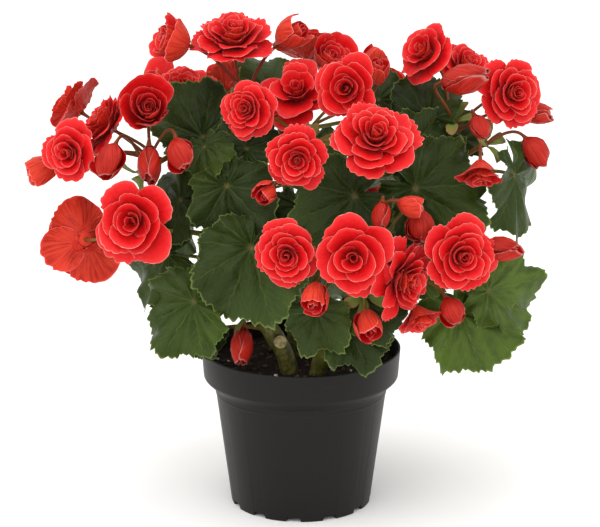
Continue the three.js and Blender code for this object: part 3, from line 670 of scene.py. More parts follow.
def add_spiral(surface, form, width, seed, settings, place, turn):
    """Petals in one spiral from the outermost to the innermost, each a step further round, steeper,
    smaller and more cupped, and each a little different."""
    draw = np.random.default_rng(seed * 101 + 7)
    spans = {name: span for name, span in form.items() if isinstance(span, list)}
    outer = PETAL_COLUMNS["large"] if width > LARGE_FLOWER else PETAL_COLUMNS["small"]
    for k in range(form["count"]):
        t = (k / (form["count"] - 1)) ** form["bend"]
        size = {name: first + (last - first) * t for name, (first, last) in spans.items()}
        for name in ("length", "half", "start", "base"):
            size[name] *= width
        size["length"] *= draw.uniform(0.92, 1.04)
        size["half"] *= draw.uniform(0.88, 1.16)
        size["tip"] += draw.uniform(-10, 8)
        size["root"] += draw.uniform(-4, 3)
        size["cup"] *= draw.uniform(0.7, 1.3)
        size["waves"] = draw.uniform(1.6, 3.2)
        size["scallops"] = draw.integers(22, 32) * (1 - 0.45 * t)
        size["notch"] = settings.notch * (1 - 0.4 * t)
        size["frill"] = 0.08 * (1 - 0.5 * t)
        size["thick"] = settings.petal_thickness / MM
        size |= {"twist": 0.05, "tight": form["tight"], "turn": turn}
        turn += math.radians(size["apart"] + draw.uniform(-7, 7))
        columns = round(outer - PETAL_COLUMNS["fewer"] * t)
        add_petal(surface, size, seed * 1000 + k, PETAL_ROWS, columns, place, 1 - t)


def open_flower(flower, seed, settings):
    """An open flower: the petals of its form on a blunt cone, which is lathed and closed at both
    ends."""
    name, form, width = flower[0], flower[1], flower[5]
    place = local_place(flower)
    surface = Surface()
    form = {**FORMS[form], **STYLES.get(name, {})}
    add_spiral(surface, form, width, seed, settings, place, TURN * chance(seed + 0.1))
    cone = lathe(CONE[:, :1] * width, CONE[:, 1:] * width, 12)
    low, high = place(np.array([[0, 0, -0.006 * width], [0, 0, 0.155 * width]]))
    add_rings(surface, place(cone), low, high, under=1, across=0, reach=0.1, tone=0)
    return surface


def shut_bud(flower, seed, settings):
    """Four broad petals pressed round a closed body. The body is lathed: its radius is a power of a
    sine up its height. The whole is flattened between the two outer petals, and turned about its
    own axis by its roll."""
    width, rows, columns = flower[5], 16, 28
    placed = local_place(flower)
    roll = math.radians(ROLLED.get(flower[0], 0))
    spin = [[math.cos(roll), math.sin(roll), 0], [-math.sin(roll), math.cos(roll), 0], [0, 0, 1]]
    place = lambda points: placed(points * [1.02, 0.78, 1.0] @ np.array(spin))
    surface = Surface()
    add_spiral(surface, FORMS["bud"], width, seed, settings, place, -math.pi / 2)
    h = 0.5 - 0.5 * np.cos(np.pi * np.linspace(0, 1, rows))[1:-1, None]
    body = lathe(0.37 * width * np.sin(np.pi * h**0.85) ** 0.7, 1.06 * width * h, columns)
    low, high = place(np.array([[0, 0, 0], [0, 0, 1.06 * width]]))
    across = np.concatenate([np.tile(3 * round_angles(columns)[0] / np.pi, rows - 2), [0, 0]])
    reach = np.concatenate([np.repeat(0.8 * h[:, 0], columns), [0, 0.8]])
    add_rings(surface, place(body), low, high, under=1, across=across, reach=reach, tone=0)
    return surface


def leaf_reach(angle, teeth, seed):
    """How far a leaf's edge is from its petiole, as a share of its length, at an angle from the tip:
    a lopsided heart, to which a triangle wave adds the large teeth, two saws add three and seven
    smaller ones for each, and two sines add lobes. At the petiole it is drawn in to a notch. Returns
    this edge, and the plain heart."""
    heart = (0.74 + 0.26 * np.cos(angle)) * (1 + 0.13 * np.sin(angle))
    spread = math.radians(166)
    step = (angle + spread) / (2 * spread) * (teeth - 1)
    large = 1 - 2 * np.abs((step + 0.5) % 1 - 0.5) * 2
    fine = ((step * 3 + 0.2) % 1) - 0.5
    small = ((step * 7 + chance(seed + 0.3)) % 1) - 0.5
    within = 1 - smooth(np.abs(angle), spread - 0.1, spread)
    lobes = 0.05 * np.sin(5 * angle + 6 * chance(seed))
    lobes = lobes + 0.03 * np.sin(8 * angle + 9 * chance(seed + 0.5))
    edge = heart * (1 + within * (0.075 * large + 0.085 * fine + 0.045 * small + lobes))
    notch = smooth(np.abs(angle), spread - 0.16, np.pi)
    return edge * (1 - notch) + 0.16 * notch, heart


def add_leaf(surface, leaf, seed, settings):
    """A blade on a polar grid round the end of its petiole. Its height is a sum: it is raised on
    either side of the midrib and arched down to the tip by the square of the distance, waved round
    the edge by a sine of three turns, puckered between the veins, and folded near the edge by two
    finer sines. It is lighter towards one side of its edge."""
    _, end, yaw, pitch, roll, length, bright = leaf
    out, right, up = facing(yaw, pitch)
    lean = math.radians(roll)
    tip = right * math.sin(lean) - up * math.cos(lean)
    side = np.cross(out, tip)
    teeth = 9 if length > LARGE_LEAF else 7
    rows, columns = LEAF_ROWS, COLUMNS_PER_TOOTH * (teeth + 1)
    angle = round_angles(columns, -np.pi)
    s = 1 - (1 - np.linspace(0, 1, rows)[:, None]) ** 1.25
    reach, plain = leaf_reach(angle, teeth, seed)
    toothed = smooth(s, 0.8, 1)
    share = s * (plain * (1 - toothed) + reach * toothed)
    near_notch = smooth(np.abs(angle), math.radians(150), np.pi)
    share = share * (1 - near_notch) + s * reach * near_notch
    arch = 0.2 * np.abs(np.sin(angle)) * share - 0.26 * share**2
    wave = (0.16 + 0.1 * bright) * np.sin(3 * angle + TURN * chance(seed)) * share**2
    off = np.abs((angle / settings.vein_spacing + 0.5) % 1 - 0.5) * 2
    pucker = 0.07 * (off**0.7 - 0.5) * np.sin(np.pi * np.clip(s, 0, 1) ** 0.8)
    count = 7 + 4 * chance(seed + 0.2)
    folds = (0.08 + 0.06 * bright) * np.sin(count * angle + 6 * chance(seed + 0.4))
    folds = folds * s**3 + 0.03 * np.sin(19 * angle + 9 * chance(seed)) * s**5
    height = length * (arch + wave + pucker + folds)
    lighter = 0.35 * s**2 * np.clip(np.sin(angle + TURN * chance(seed + 0.7)), 0, 1)
    blade_x, blade_y = share * np.cos(angle), share * np.sin(angle)
    front = (
        np.array(end) + 0.45 * out + tip * (length * blade_x)[..., None]
        + side * (length * blade_y)[..., None] + out * height[..., None]
    )
    thick = 0.5 * np.minimum(1, 3 * (1 - s) + 0.2) * np.ones_like(height)
    back = front - out * thick[..., None]
    back[-1] = front[-1]
    add_round_blade(
        surface, front, back, blade_x=blade_x, blade_y=blade_y, rim=s, bright=bright + lighter,
        leaf=chance(seed + 0.9),
    )


def linear(colour):
    """An sRGB hex colour as the linear red, green, blue and alpha that Blender works in."""
    value = np.array([int(colour[k : k + 2], 16) for k in (1, 3, 5)]) / 255
    value = np.where(value <= 0.04045, value / 12.92, ((value + 0.055) / 1.055) ** 2.4)
    return (*value, 1.0)


def add_node(tree, kind, inputs=None, **settings):
    """Adds a node, sets its properties, and fills its sockets: with a value, with a hex colour made
    linear, or with a link from a socket or from the first socket that a node has in use."""
    node = tree.nodes.new("ShaderNode" + kind)
    for name, value in settings.items():
        setattr(node, name, value)
    for socket, value in (inputs or {}).items():
        if isinstance(value, bpy.types.Node):
            value = next(out for out in value.outputs if out.enabled)
        if isinstance(value, bpy.types.NodeSocket):
            tree.links.new(value, node.inputs[socket])
        else:
            node.inputs[socket].default_value = linear(value) if isinstance(value, str) else value
    return node


def new_material(name):
    """A material with no nodes yet, and add_node for its tree."""
    material = bpy.data.materials.new(name)
    material.use_nodes = True
    material.node_tree.nodes.clear()
    return material, partial(add_node, material.node_tree)


# Sockets go by number where a node has several of one name. Math takes 0 and 1. MapRange takes its
# value at 0, the range that it comes from at 1 and 2, and the range that it becomes at 3 and 4. Mix
# takes its share at 0, and two colours at 6 and 7.
# Settings that many nodes share: a mix of colours, a soft step and a product.
RGB = {"data_type": "RGBA"}
SOFT = {"interpolation_type": "SMOOTHSTEP"}
TIMES = {"operation": "MULTIPLY"}


def petal_material(settings):
    """Begonia petal: thin wet cells under a matt skin, so the red is deep and glows a little where
    light comes through. The face is painted darker towards the root, partly as shade in the flower's
    heart, and painted coral towards the edge as a highlight. The scalloped rim is pale, partly a
    painted highlight, and the back is coral with fine veins."""
    material, add = new_material("begonia_petal")
    across, reach = add("SeparateXYZ", {0: add("UVMap", uv_map="petal_map")}).outputs[:2]
    under, tone = (add("Attribute", attribute_name=name).outputs["Fac"] for name in ("under", "tone"))
    where = add("TexCoord").outputs["Object"]
    # About sixty streaks across a petal, a third of a millimetre apart, that run from root to edge.
    fine = add("Math", {0: across, 1: 34.0}, **TIMES)
    slow = add("Math", {0: reach, 1: 1.6}, **TIMES)
    streak_at = add("CombineXYZ", {0: fine, 1: slow, 2: tone})
    streak = add("TexNoise", {"Vector": streak_at, "Scale": 1.0, "Detail": 2.0})
    vein = add("MapRange", {0: streak, 1: 0.42, 2: 0.68})
    # Paler clouds about 14 mm across, near half the width of a petal.
    cloud = add("TexNoise", {"Vector": where, "Scale": 70.0, "Detail": 2.0})
    # The face deepens from the edge to the root: the petal's own deep red, and painted shade where the
    # petals nest in the flower's heart.
    outer = add("MapRange", {0: reach, 1: 0.25, 2: 0.9}, **SOFT)
    face = add("Mix", {0: outer, 6: "#AC0006", 7: "#D81218"}, **RGB)
    layers = (
        (add("MapRange", {0: cloud, 1: 0.35, 2: 0.8, 4: 0.35}), "#DE2426"),
        (add("Math", {0: vein, 1: 0.22}, **TIMES), "#B00208"),
        # A painted highlight: the face turns coral over the last sixth of the petal, towards its edge.
        (add("MapRange", {0: reach, 1: 0.84, 4: 0.32}, **SOFT), "#EA524C"),
    )
    for share, colour in layers:
        face = add("Mix", {0: share, 6: face, 7: colour}, **RGB)
    rear = add("Mix", {0: add("Math", {0: vein, 1: 0.75}, **TIMES), 6: "#CC3824", 7: "#8E100B"}, **RGB)
    # The last fortieth of the petal, about half a millimetre, is its pale rim, and partly a painted
    # highlight along the edge. The rim and its painted highlight are paler in some places than in
    # others, in patches of about 4 mm.
    rim = add("MapRange", {0: reach, 1: 0.975}, **SOFT)
    patchy = add("TexNoise", {"Vector": where, "Scale": 240.0})
    scuffs_and_rim_highlight = add("MapRange", {0: patchy, 1: 0.35, 2: 0.65, 3: 0.15, 4: 0.85})
    rim = add("Math", {0: rim, 1: scuffs_and_rim_highlight}, **TIMES)
    both = add("Mix", {0: under, 6: face, 7: rear}, **RGB)
    colour = add("Mix", {0: rim, 6: both, 7: settings.rim}, **RGB)
    bump = add("Bump", {"Height": streak, "Distance": 0.3 * MM, "Strength": 0.6})
    # Soft crinkles about 5 mm long in the petal.
    crinkle = add("TexNoise", {"Vector": where, "Scale": 190.0, "Detail": 2.0})
    bump = add("Bump", {"Height": crinkle, "Distance": 1.6 * MM, "Strength": 0.5, "Normal": bump})
    shader = add("BsdfPrincipled", {
        "Base Color": colour, "Roughness": 0.5, "IOR": 1.42, "Normal": bump, "Specular IOR Level": 0.2,
        "Sheen Weight": 0.06, "Sheen Roughness": 0.4, "Sheen Tint": (1.0, 0.5, 0.5, 1.0),
        "Subsurface Weight": 0.1, "Subsurface Scale": 2.5 * MM, "Subsurface Radius": (1.0, 0.25, 0.2),
    })
    add("OutputMaterial", {0: shader})
    return material


def bud_material(settings):
    """Outer petals of a shut bud: waxy coral skin with veins from base to tip, a pale lip where two
    petals meet, and a darker red inside."""
    material, add = new_material("begonia_bud_skin")
    across, reach = add("SeparateXYZ", {0: add("UVMap", uv_map="petal_map")}).outputs[:2]
    under = add("Attribute", attribute_name="under").outputs["Fac"]
    # About twenty veins across a petal, a millimetre apart.
    fine = add("Math", {0: across, 1: 26.0}, **TIMES)
    slow = add("Math", {0: reach, 1: 1.4}, **TIMES)
    streak_at = add("CombineXYZ", {0: fine, 1: slow})
    streak = add("TexNoise", {"Vector": streak_at, "Scale": 1.0, "Detail": 3.0})
    vein = add("MapRange", {0: streak, 1: 0.42, 2: 0.62, 4: 0.7})
    # Paler clouds about 9 mm across, half the width of a bud.
    where = add("TexCoord").outputs["Object"]
    cloud = add("TexNoise", {"Vector": where, "Scale": 110.0, "Detail": 2.0})
    skin = add("Mix", {0: cloud, 6: "#94120C", 7: "#C63424"}, **RGB)
    skin = add("Mix", {0: vein, 6: skin, 7: "#8C0A08"}, **RGB)
    both = add("Mix", {0: under, 6: "#9C0609", 7: skin}, **RGB)
    lip = add("MapRange", {0: reach, 1: 0.93, 4: 0.35}, **SOFT)
    colour = add("Mix", {0: lip, 6: both, 7: settings.rim}, **RGB)
    bump = add("Bump", {"Height": streak, "Distance": 0.3 * MM, "Strength": 0.6})
    shader = add("BsdfPrincipled", {
        "Base Color": colour, "Roughness": 0.42, "IOR": 1.45, "Normal": bump,
        "Specular IOR Level": 0.15, "Subsurface Weight": 0.2, "Subsurface Scale": 3 * MM,
        "Subsurface Radius": (1.0, 0.3, 0.2),
    })
    add("OutputMaterial", {0: shader})
    return material


def leaf_material(settings):
    """Begonia leaf: a waxy cuticle over puckered cells, so a dark green with a soft grey sheen, partly
    painted in lighter grey-green blotches, paler veins that fan out from the petiole, a thin light rim,
    and a dull pale underside. The leaves that are more lit are painted a lighter green."""
    material, add = new_material("begonia_leaf")
    place = add("UVMap", uv_map="blade_map")
    x, y = add("SeparateXYZ", {0: place}).outputs[:2]
    names = ("bright", "rim", "under", "leaf")
    bright, rim, under, leaf = (add("Attribute", attribute_name=name).outputs["Fac"] for name in names)
    where = add("TexCoord").outputs["Object"]
    # The veins wander by up to 5 degrees, in waves of a fifth of the leaf's length, about 8 mm.
    wander = add("TexNoise", {"Vector": place, "Scale": 5.0, "Detail": 2.0})
    bent = add("MapRange", {0: wander, 3: -0.09, 4: 0.09})
    angle = add("Math", {0: add("Math", {0: y, 1: x}, operation="ARCTAN2"), 1: bent}, operation="ADD")
    radius = add("VectorMath", {0: place}, operation="LENGTH")
    off = add("Math", {0: angle, 1: settings.vein_spacing / 2}, operation="PINGPONG")
    off = add("Math", {0: off, 1: radius}, **TIMES)
    # A main vein is about 1.2 mm wide at the petiole and a third of that at the edge.
    width = add("MapRange", {0: radius, 3: 0.02, 4: 0.006})
    share = add("Math", {0: off, 1: width}, operation="DIVIDE")
    main = add("MapRange", {0: share, 1: 0.4, 2: 1.2, 3: 1.0, 4: 0.0}, **SOFT)
    # Side veins leave a main vein every 4 mm, a ninth of a leaf, and go outwards at about 35 degrees.
    side = add("Math", {0: radius, 1: add("Math", {0: off, 1: 1.5}, **TIMES)}, operation="SUBTRACT")
    for operation, amount in (("MULTIPLY", 9.0), ("ADD", bent), ("PINGPONG", 0.5)):
        side = add("Math", {0: side, 1: amount}, operation=operation)
    branch = add("MapRange", {0: side, 1: 0.02, 2: 0.11, 3: 0.6, 4: 0.0}, **SOFT)
    veins = add("Math", {0: main, 1: branch}, operation="MAXIMUM")
    # The net of the smallest veins, cells about 2 mm across.
    net = add("TexVoronoi", {"Vector": where, "Scale": 480.0}, feature="DISTANCE_TO_EDGE")
    cell = add("MapRange", {0: net, 2: 0.3})
    # Streaky blotches, a third of the leaf wide and longer from petiole to edge than they are wide,
    # lighter and greyer than the leaf: partly its own uneven tone and partly a painted sheen.
    turned = add("Math", {0: angle, 1: 2.0}, **TIMES)
    blotch_at = add("CombineXYZ", {0: turned, 1: radius, 2: leaf})
    blotch = add("TexNoise", {"Vector": blotch_at, "Scale": 3.0, "Detail": 5.0})
    tone_and_sheen_patch = add("MapRange", {0: blotch, 1: 0.42, 2: 0.66, 4: 0.6})
    lit = add("Math", {0: veins, 1: add("MapRange", {0: bright, 3: 0.12, 4: 0.36})}, **TIMES)
    hub = add("MapRange", {0: radius, 1: 0.015, 2: 0.07, 3: 0.3, 4: 0.0}, **SOFT)
    green = add("Mix", {0: leaf, 6: settings.dark, 7: "#0D1703"}, **RGB)
    # The more lit leaves take the light green, which is partly painted light, and the blotches are
    # partly a painted sheen.
    layers = ((bright, settings.light), (tone_and_sheen_patch, "#2B3918"), (lit, "#64743A"), (hub, "#8A6A48"))
    for share, colour in layers:
        green = add("Mix", {0: share, 6: green, 7: colour}, **RGB)
    below = add("Mix", {0: lit, 6: "#55683A", 7: "#8F8A55"}, **RGB)
    both = add("Mix", {0: under, 6: green, 7: below}, **RGB)
    pale = add("MapRange", {0: rim, 1: 0.965, 4: 0.5}, **SOFT)
    colour = add("Mix", {0: pale, 6: both, 7: "#87984F"}, **RGB)
    away = add("MapRange", {0: radius, 1: 0.03, 2: 0.15, 4: -1.0})
    cells, grooves = add("Math", {0: cell, 1: 0.35}, **TIMES), add("Math", {0: veins, 1: away}, **TIMES)
    relief = add("Math", {0: cells, 1: grooves}, operation="ADD")
    # The blade bulges between its veins in soft lumps about 9 mm across.
    lumps = add("TexNoise", {"Vector": where, "Scale": 110.0, "Detail": 0.5})
    bump = add("Bump", {"Height": lumps, "Distance": 5 * MM, "Strength": 0.7})
    bump = add("Bump", {"Height": relief, "Distance": 0.5 * MM, "Strength": 0.6, "Normal": bump})
    # The wax is duller in some places than in others, in patches of about 18 mm.
    wax = add("TexNoise", {"Vector": where, "Scale": 55.0, "Detail": 4.0})
    shader = add("BsdfPrincipled", {
        "Base Color": colour, "Roughness": add("MapRange", {0: wax, 3: 0.33, 4: 0.5}), "IOR": 1.46,
        "Normal": bump, "Specular IOR Level": 0.15,
    })
    add("OutputMaterial", {0: shader})
    return material


def stalk_material():
    """Begonia stalk: a watery stem under a smooth skin, green to yellow-green, flushed red-brown
    towards the flowers and speckled on the old stems, with a dry pale end where one was cut."""
    material, add = new_material("begonia_stalk")
    where = add("TexCoord").outputs["Object"]
    names = ("red", "old", "cut")
    red, old, cut = (add("Attribute", attribute_name=name).outputs["Fac"] for name in names)
    # Specks about 3 mm long, and a drift from green to yellow-green every 17 mm or so.
    speck = add("TexNoise", {"Vector": where, "Scale": 330.0, "Detail": 3.0})
    cloud = add("TexNoise", {"Vector": where, "Scale": 60.0, "Detail": 2.0})
    spots = add("MapRange", {0: speck, 1: 0.45, 2: 0.6})
    skin = add("Mix", {0: cloud, 6: "#586B1E", 7: "#7E8430"}, **RGB)
    mottled = add("Mix", {0: spots, 6: "#363C18", 7: "#655F34"}, **RGB)
    dry = add("Mix", {0: spots, 6: "#8A774C", 7: "#B8A67C"}, **RGB)
    for share, colour in ((old, mottled), (red, "#74230F"), (cut, dry)):
        skin = add("Mix", {0: share, 6: skin, 7: colour}, **RGB)
    bump = add("Bump", {"Height": speck, "Distance": 0.3 * MM, "Strength": 0.5})
    shader = add("BsdfPrincipled", {
        "Base Color": skin, "Roughness": 0.42, "IOR": 1.45, "Normal": bump, "Specular IOR Level": 0.3,
        "Subsurface Weight": 0.1, "Subsurface Scale": 3 * MM,
    })
    add("OutputMaterial", {0: shader})
    return material


def bract_material():
    """Begonia bract: a papery scale, light yellow-green with a red flush at its edge."""
    material, add = new_material("begonia_bract")
    across, reach = add("SeparateXYZ", {0: add("UVMap", uv_map="petal_map")}).outputs[:2]
    # About fourteen streaks across a scale, half a millimetre apart.
    fine = add("Math", {0: across, 1: 14.0}, **TIMES)
    streak_at = add("CombineXYZ", {0: fine, 1: reach})
    streak = add("TexNoise", {"Vector": streak_at, "Scale": 1.0, "Detail": 2.0})
    skin = add("Mix", {0: streak, 6: "#586B2C", 7: "#7C8C46"}, **RGB)
    edge = add("MapRange", {0: reach, 1: 0.6, 4: 0.55})
    colour = add("Mix", {0: edge, 6: skin, 7: "#96543A"}, **RGB)
    shader = add("BsdfPrincipled", {
        "Base Color": colour, "Roughness": 0.55, "IOR": 1.42, "Specular IOR Level": 0.2,
    })
    add("OutputMaterial", {0: shader})
    return material


def plastic_material(settings):
    """Polypropylene, injection moulded: charcoal, smooth to the hand, with a dull even sheen and
    faint scuffs."""
    material, add = new_material("moulded_polypropylene")
    where = add("TexCoord").outputs["Object"]
    # Dull patches about 40 mm across, and the mould's fine grain, half a millimetre.
    cloud = add("TexNoise", {"Vector": where, "Scale": 26.0, "Detail": 4.0})
    grain = add("TexNoise", {"Vector": where, "Scale": 1800.0, "Detail": 2.0})
    # Scuffs that run round the pot, 25 mm long and 1 mm high.
    stretched = add("Mapping", {"Vector": where, "Scale": (40.0, 40.0, 900.0)})
    scuff = add("TexNoise", {"Vector": stretched, "Scale": 1.0, "Detail": 3.0})
    base = add("Mix", {0: cloud, 6: settings.plastic, 7: "#12110F"}, **RGB)
    scuffs_and_rim_highlight = add("MapRange", {0: scuff, 1: 0.62, 2: 0.8, 4: 0.22})
    colour = add("Mix", {0: scuffs_and_rim_highlight, 6: base, 7: "#302E2B"}, **RGB)
    bump = add("Bump", {"Height": grain, "Distance": 0.05 * MM, "Strength": 0.5})
    shader = add("BsdfPrincipled", {
        "Base Color": colour, "Roughness": add("MapRange", {0: cloud, 3: 0.4, 4: 0.52}), "IOR": 1.49,
        "Normal": bump, "Specular IOR Level": 0.22,
    })
    add("OutputMaterial", {0: shader})
    return material


def soil_material():
    """Peat potting soil, damp: near-black crumbs with brown fibres, and no shine."""
    material, add = new_material("damp_peat")
    where = add("TexCoord").outputs["Object"]
    # Fibres and crumbs, 2.4 mm and finer, over lumps 3 mm across.
    crumb = add("TexNoise", {"Vector": where, "Scale": 420.0, "Detail": 6.0, "Roughness": 0.7})
    lump = add("TexVoronoi", {"Vector": where, "Scale": 330.0})
    brown = add("MapRange", {0: crumb, 1: 0.35, 2: 0.7})
    colour = add("Mix", {0: brown, 6: "#110C08", 7: "#2E2218"}, **RGB)
    height = add("Math", {0: crumb, 1: lump}, operation="ADD")
    bump = add("Bump", {"Height": height, "Distance": 1.2 * MM, "Strength": 0.9})
    shader = add("BsdfPrincipled", {
        "Base Color": colour, "Roughness": 0.92, "IOR": 1.4, "Normal": bump,
    })
    add("OutputMaterial", {0: shader})
    return material


def grain_material(name, low, high, roughness):
    """A grain of soil filler: perlite is puffed white glass, bark is brown and fibrous. Both are dull,
    and a noise of 1.4 mm keeps two grains from looking alike."""
    material, add = new_material(name)
    where = add("TexCoord").outputs["Object"]
    noise = add("TexNoise", {"Vector": where, "Scale": 700.0, "Detail": 3.0})
    colour = add("Mix", {0: noise, 6: low, 7: high}, **RGB)
    bump = add("Bump", {"Height": noise, "Distance": 0.4 * MM, "Strength": 0.8})
    shader = add("BsdfPrincipled", {
        "Base Color": colour, "Roughness": roughness, "IOR": 1.5, "Normal": bump,
    })
    add("OutputMaterial", {0: shader})
    return material


def floor_material(settings):
    """Matt painted board under the pot: pale and even, with the faintest mottling in patches of about
    125 mm."""
    material, add = new_material("matt_painted_board")
    noise = add("TexNoise", {"Vector": add("TexCoord").outputs["Object"], "Scale": 8.0, "Detail": 2.0})
    colour = add("Mix", {0: noise, 6: settings.floor, 7: "#FBFAF8"}, **RGB)
    shader = add("BsdfPrincipled", {"Base Color": colour, "Roughness": 0.85, "IOR": 1.45})
    add("OutputMaterial", {0: shader})
    return material


class PotSettings(bpy.types.PropertyGroup):
    height: bpy.props.FloatProperty(
        name="Height", description="From the table to the rim", default=0.105, unit="LENGTH")
    rim_radius: bpy.props.FloatProperty(
        name="Rim radius", description="Outside radius of the rim", default=0.065, unit="LENGTH")
    wall: bpy.props.FloatProperty(
        name="Wall", description="Thickness of the wall", default=0.0015, unit="LENGTH")
    plastic: bpy.props.FloatVectorProperty(
        name="Plastic", description="Colour of the plastic", default=linear("#0D0C0B"), **COLOUR)


class SoilSettings(bpy.types.PropertyGroup):
    lump: bpy.props.FloatProperty(
        name="Lumps", description="Height of the lumps on the soil", default=0.0012, unit="LENGTH")
    perlite: bpy.props.IntProperty(
        name="Perlite", description="Number of white grains on the soil", default=34, min=0)
    bark: bpy.props.IntProperty(
        name="Bark", description="Number of bark crumbs on the soil", default=240, min=0)


class LeafSettings(bpy.types.PropertyGroup):
    vein_spacing: bpy.props.FloatProperty(
        name="Vein spacing", description="Angle between two main veins", default=math.radians(37),
        subtype="ANGLE")
    dark: bpy.props.FloatVectorProperty(
        name="Dark green", description="Colour of shaded leaves", default=linear("#080F02"), **COLOUR)
    # The light green is partly painted light: the leaves that are more lit take more of it.
    light: bpy.props.FloatVectorProperty(
        name="Light green", description="Colour of young leaves", default=linear("#4D6222"), **COLOUR)


class FlowerSettings(bpy.types.PropertyGroup):
    petal_thickness: bpy.props.FloatProperty(
        name="Petal thickness", description="Thickness of a petal's middle", default=0.00055,
        unit="LENGTH")
    notch: bpy.props.FloatProperty(
        name="Scallops", description="Depth of an edge's scallops, as a share of the petal's length",
        default=0.1, subtype="FACTOR")
    # On a petal the rim colour is partly a painted highlight along the edge.
    rim: bpy.props.FloatVectorProperty(
        name="Rim", description="Colour of a petal's very edge", default=linear("#F7ACA0"), **COLOUR)


class StageSettings(bpy.types.PropertyGroup):
    distance: bpy.props.FloatProperty(
        name="Camera distance", description="From the camera to the middle of the plant", default=1.5,
        unit="LENGTH")
    elevation: bpy.props.FloatProperty(
        name="Camera height", description="Angle of the camera above the table",
        default=math.radians(15.7), subtype="ANGLE")
    floor: bpy.props.FloatVectorProperty(
        name="Floor", description="Colour of the floor", default=linear("#F1F0EE"), **COLOUR)


def pot_inside(height, settings):
    """The pot's inner radius at a height: straight lines between foot, shoulder, collar and rim."""
    heights = [0, POT["shoulder_foot"], POT["collar_foot"], settings.height / MM]
    radii = [POT["foot_radius"], POT["body_radius"], POT["collar_radius"], settings.rim_radius / MM]
    return np.interp(height, heights, radii) - settings.wall / MM


class BEGONIA_OT_pot(bpy.types.Operator):
    """The nursery pot: a tapered cup with a wide collar on a notched foot ring and a centre pad"""

    bl_idname = "begonia.pot"
    bl_label = "Pot"

    def execute(self, context):
        settings = context.scene.begonia_pot
        top, wall, rim = settings.height / MM, settings.wall / MM, settings.rim_radius / MM
        foot, shoulder, collar = POT["foot_radius"], POT["shoulder_foot"], POT["collar_foot"]
        floor, pad = POT["floor"], POT["pad_radius"]
        floor_top, inner_foot = floor + POT["floor_thickness"], foot - POT["foot_ring"]
        body = lambda z: np.interp(z, [0, shoulder], [foot, POT["body_radius"]])
        ridge, half = POT["ridge_at"], POT["ridge_half"]
        low, high = ridge - half, ridge + half
        # Corners of the section as [radius, height, rounding], from the pad out, up and back inside.
        corners = [
            [pad, 0, 0.4], [pad, floor, 0.4], [inner_foot, floor, 0.5], [inner_foot, 0, 0.5],
            [foot, 0, 0.7], [body(low), low, 0.2], [body(ridge) + POT["ridge_height"], ridge, 0.25],
            [body(high), high, 0.2], [POT["body_radius"], shoulder, 0.9],
            [POT["collar_radius"], collar, 1.2], [rim, top, 0.65], [rim - wall, top, 0.65],
        ]
        inside = ((collar, 1.2), (shoulder, 1.0), (floor_top, 1.0))
        corners += [[pot_inside(height, settings), height, rounding] for height, rounding in inside]
        section = self.rounded(np.array(corners))
        radius, height = section[:, :1], section[:, 1:]
        step = TURN / NOTCH["count"]
        angle = round_angles(POT_COLUMNS)
        from_notch = np.abs((angle - math.radians(NOTCH["turn"] - 90) + step / 2) % step - step / 2)
        notched = (from_notch * foot < NOTCH["width"] / 2) & (radius > inner_foot - 1)
        height = np.where(notched & (height < NOTCH["height"]), NOTCH["height"], height)
        surface = Surface()
        add_rings(surface, lathe(radius, height, POT_COLUMNS), [0, 0, 0], [0, 0, floor_top])
        pot = surface.piece("pot_shell", plastic_material(settings), ["pot"], "pot_plastic")
        self.drain(pot)
        return {"FINISHED"}

    @staticmethod
    def rounded(corners):
        """Each corner of the section becomes an arc: five points on a curve that is drawn towards the
        corner from its rounding's distance along either side."""
        middle, rounding = corners[:, None, :2], corners[:, None, 2:]
        ends = np.concatenate([[[0, 0]], corners[:, :2], [[0, corners[-1, 1]]]])[:, None]
        t = np.linspace(0, 1, 5)[None, :, None]
        before, after = (middle + unit(side - middle) * rounding for side in (ends[:-2], ends[2:]))
        return (before * (1 - t) ** 2 + middle * 2 * t * (1 - t) + after * t**2).reshape(-1, 2)

    @staticmethod
    def drain(pot):
        """Cuts the round drain holes through the floor with a boolean, and applies it."""
        cutter = Surface()
        for turn in round_angles(DRAIN["count"])[0]:
            x, y = DRAIN["at"] * math.cos(turn), DRAIN["at"] * math.sin(turn)
            ends = [[x, y, z] for z in DRAIN["reach"]]
            add_tube(cutter, ends, [DRAIN["radius"]] * 2, 24)
        tool = cutter.piece("drain_cutter", pot.data.materials[0])
        change = pot.modifiers.new("drain", "BOOLEAN")
        change.operation, change.object, change.solver = "DIFFERENCE", tool, "EXACT"
        bpy.context.view_layer.update()
        made = bpy.data.meshes.new_from_object(pot.evaluated_get(bpy.context.evaluated_depsgraph_get()))
        pot.modifiers.clear()
        pot.data = made
        made.name = pot.name
        bpy.data.objects.remove(tool)
        made.polygons.foreach_set("use_smooth", np.ones(len(made.polygons), bool))
        made.set_sharp_from_angle(angle=math.radians(SHARP_PLASTIC))


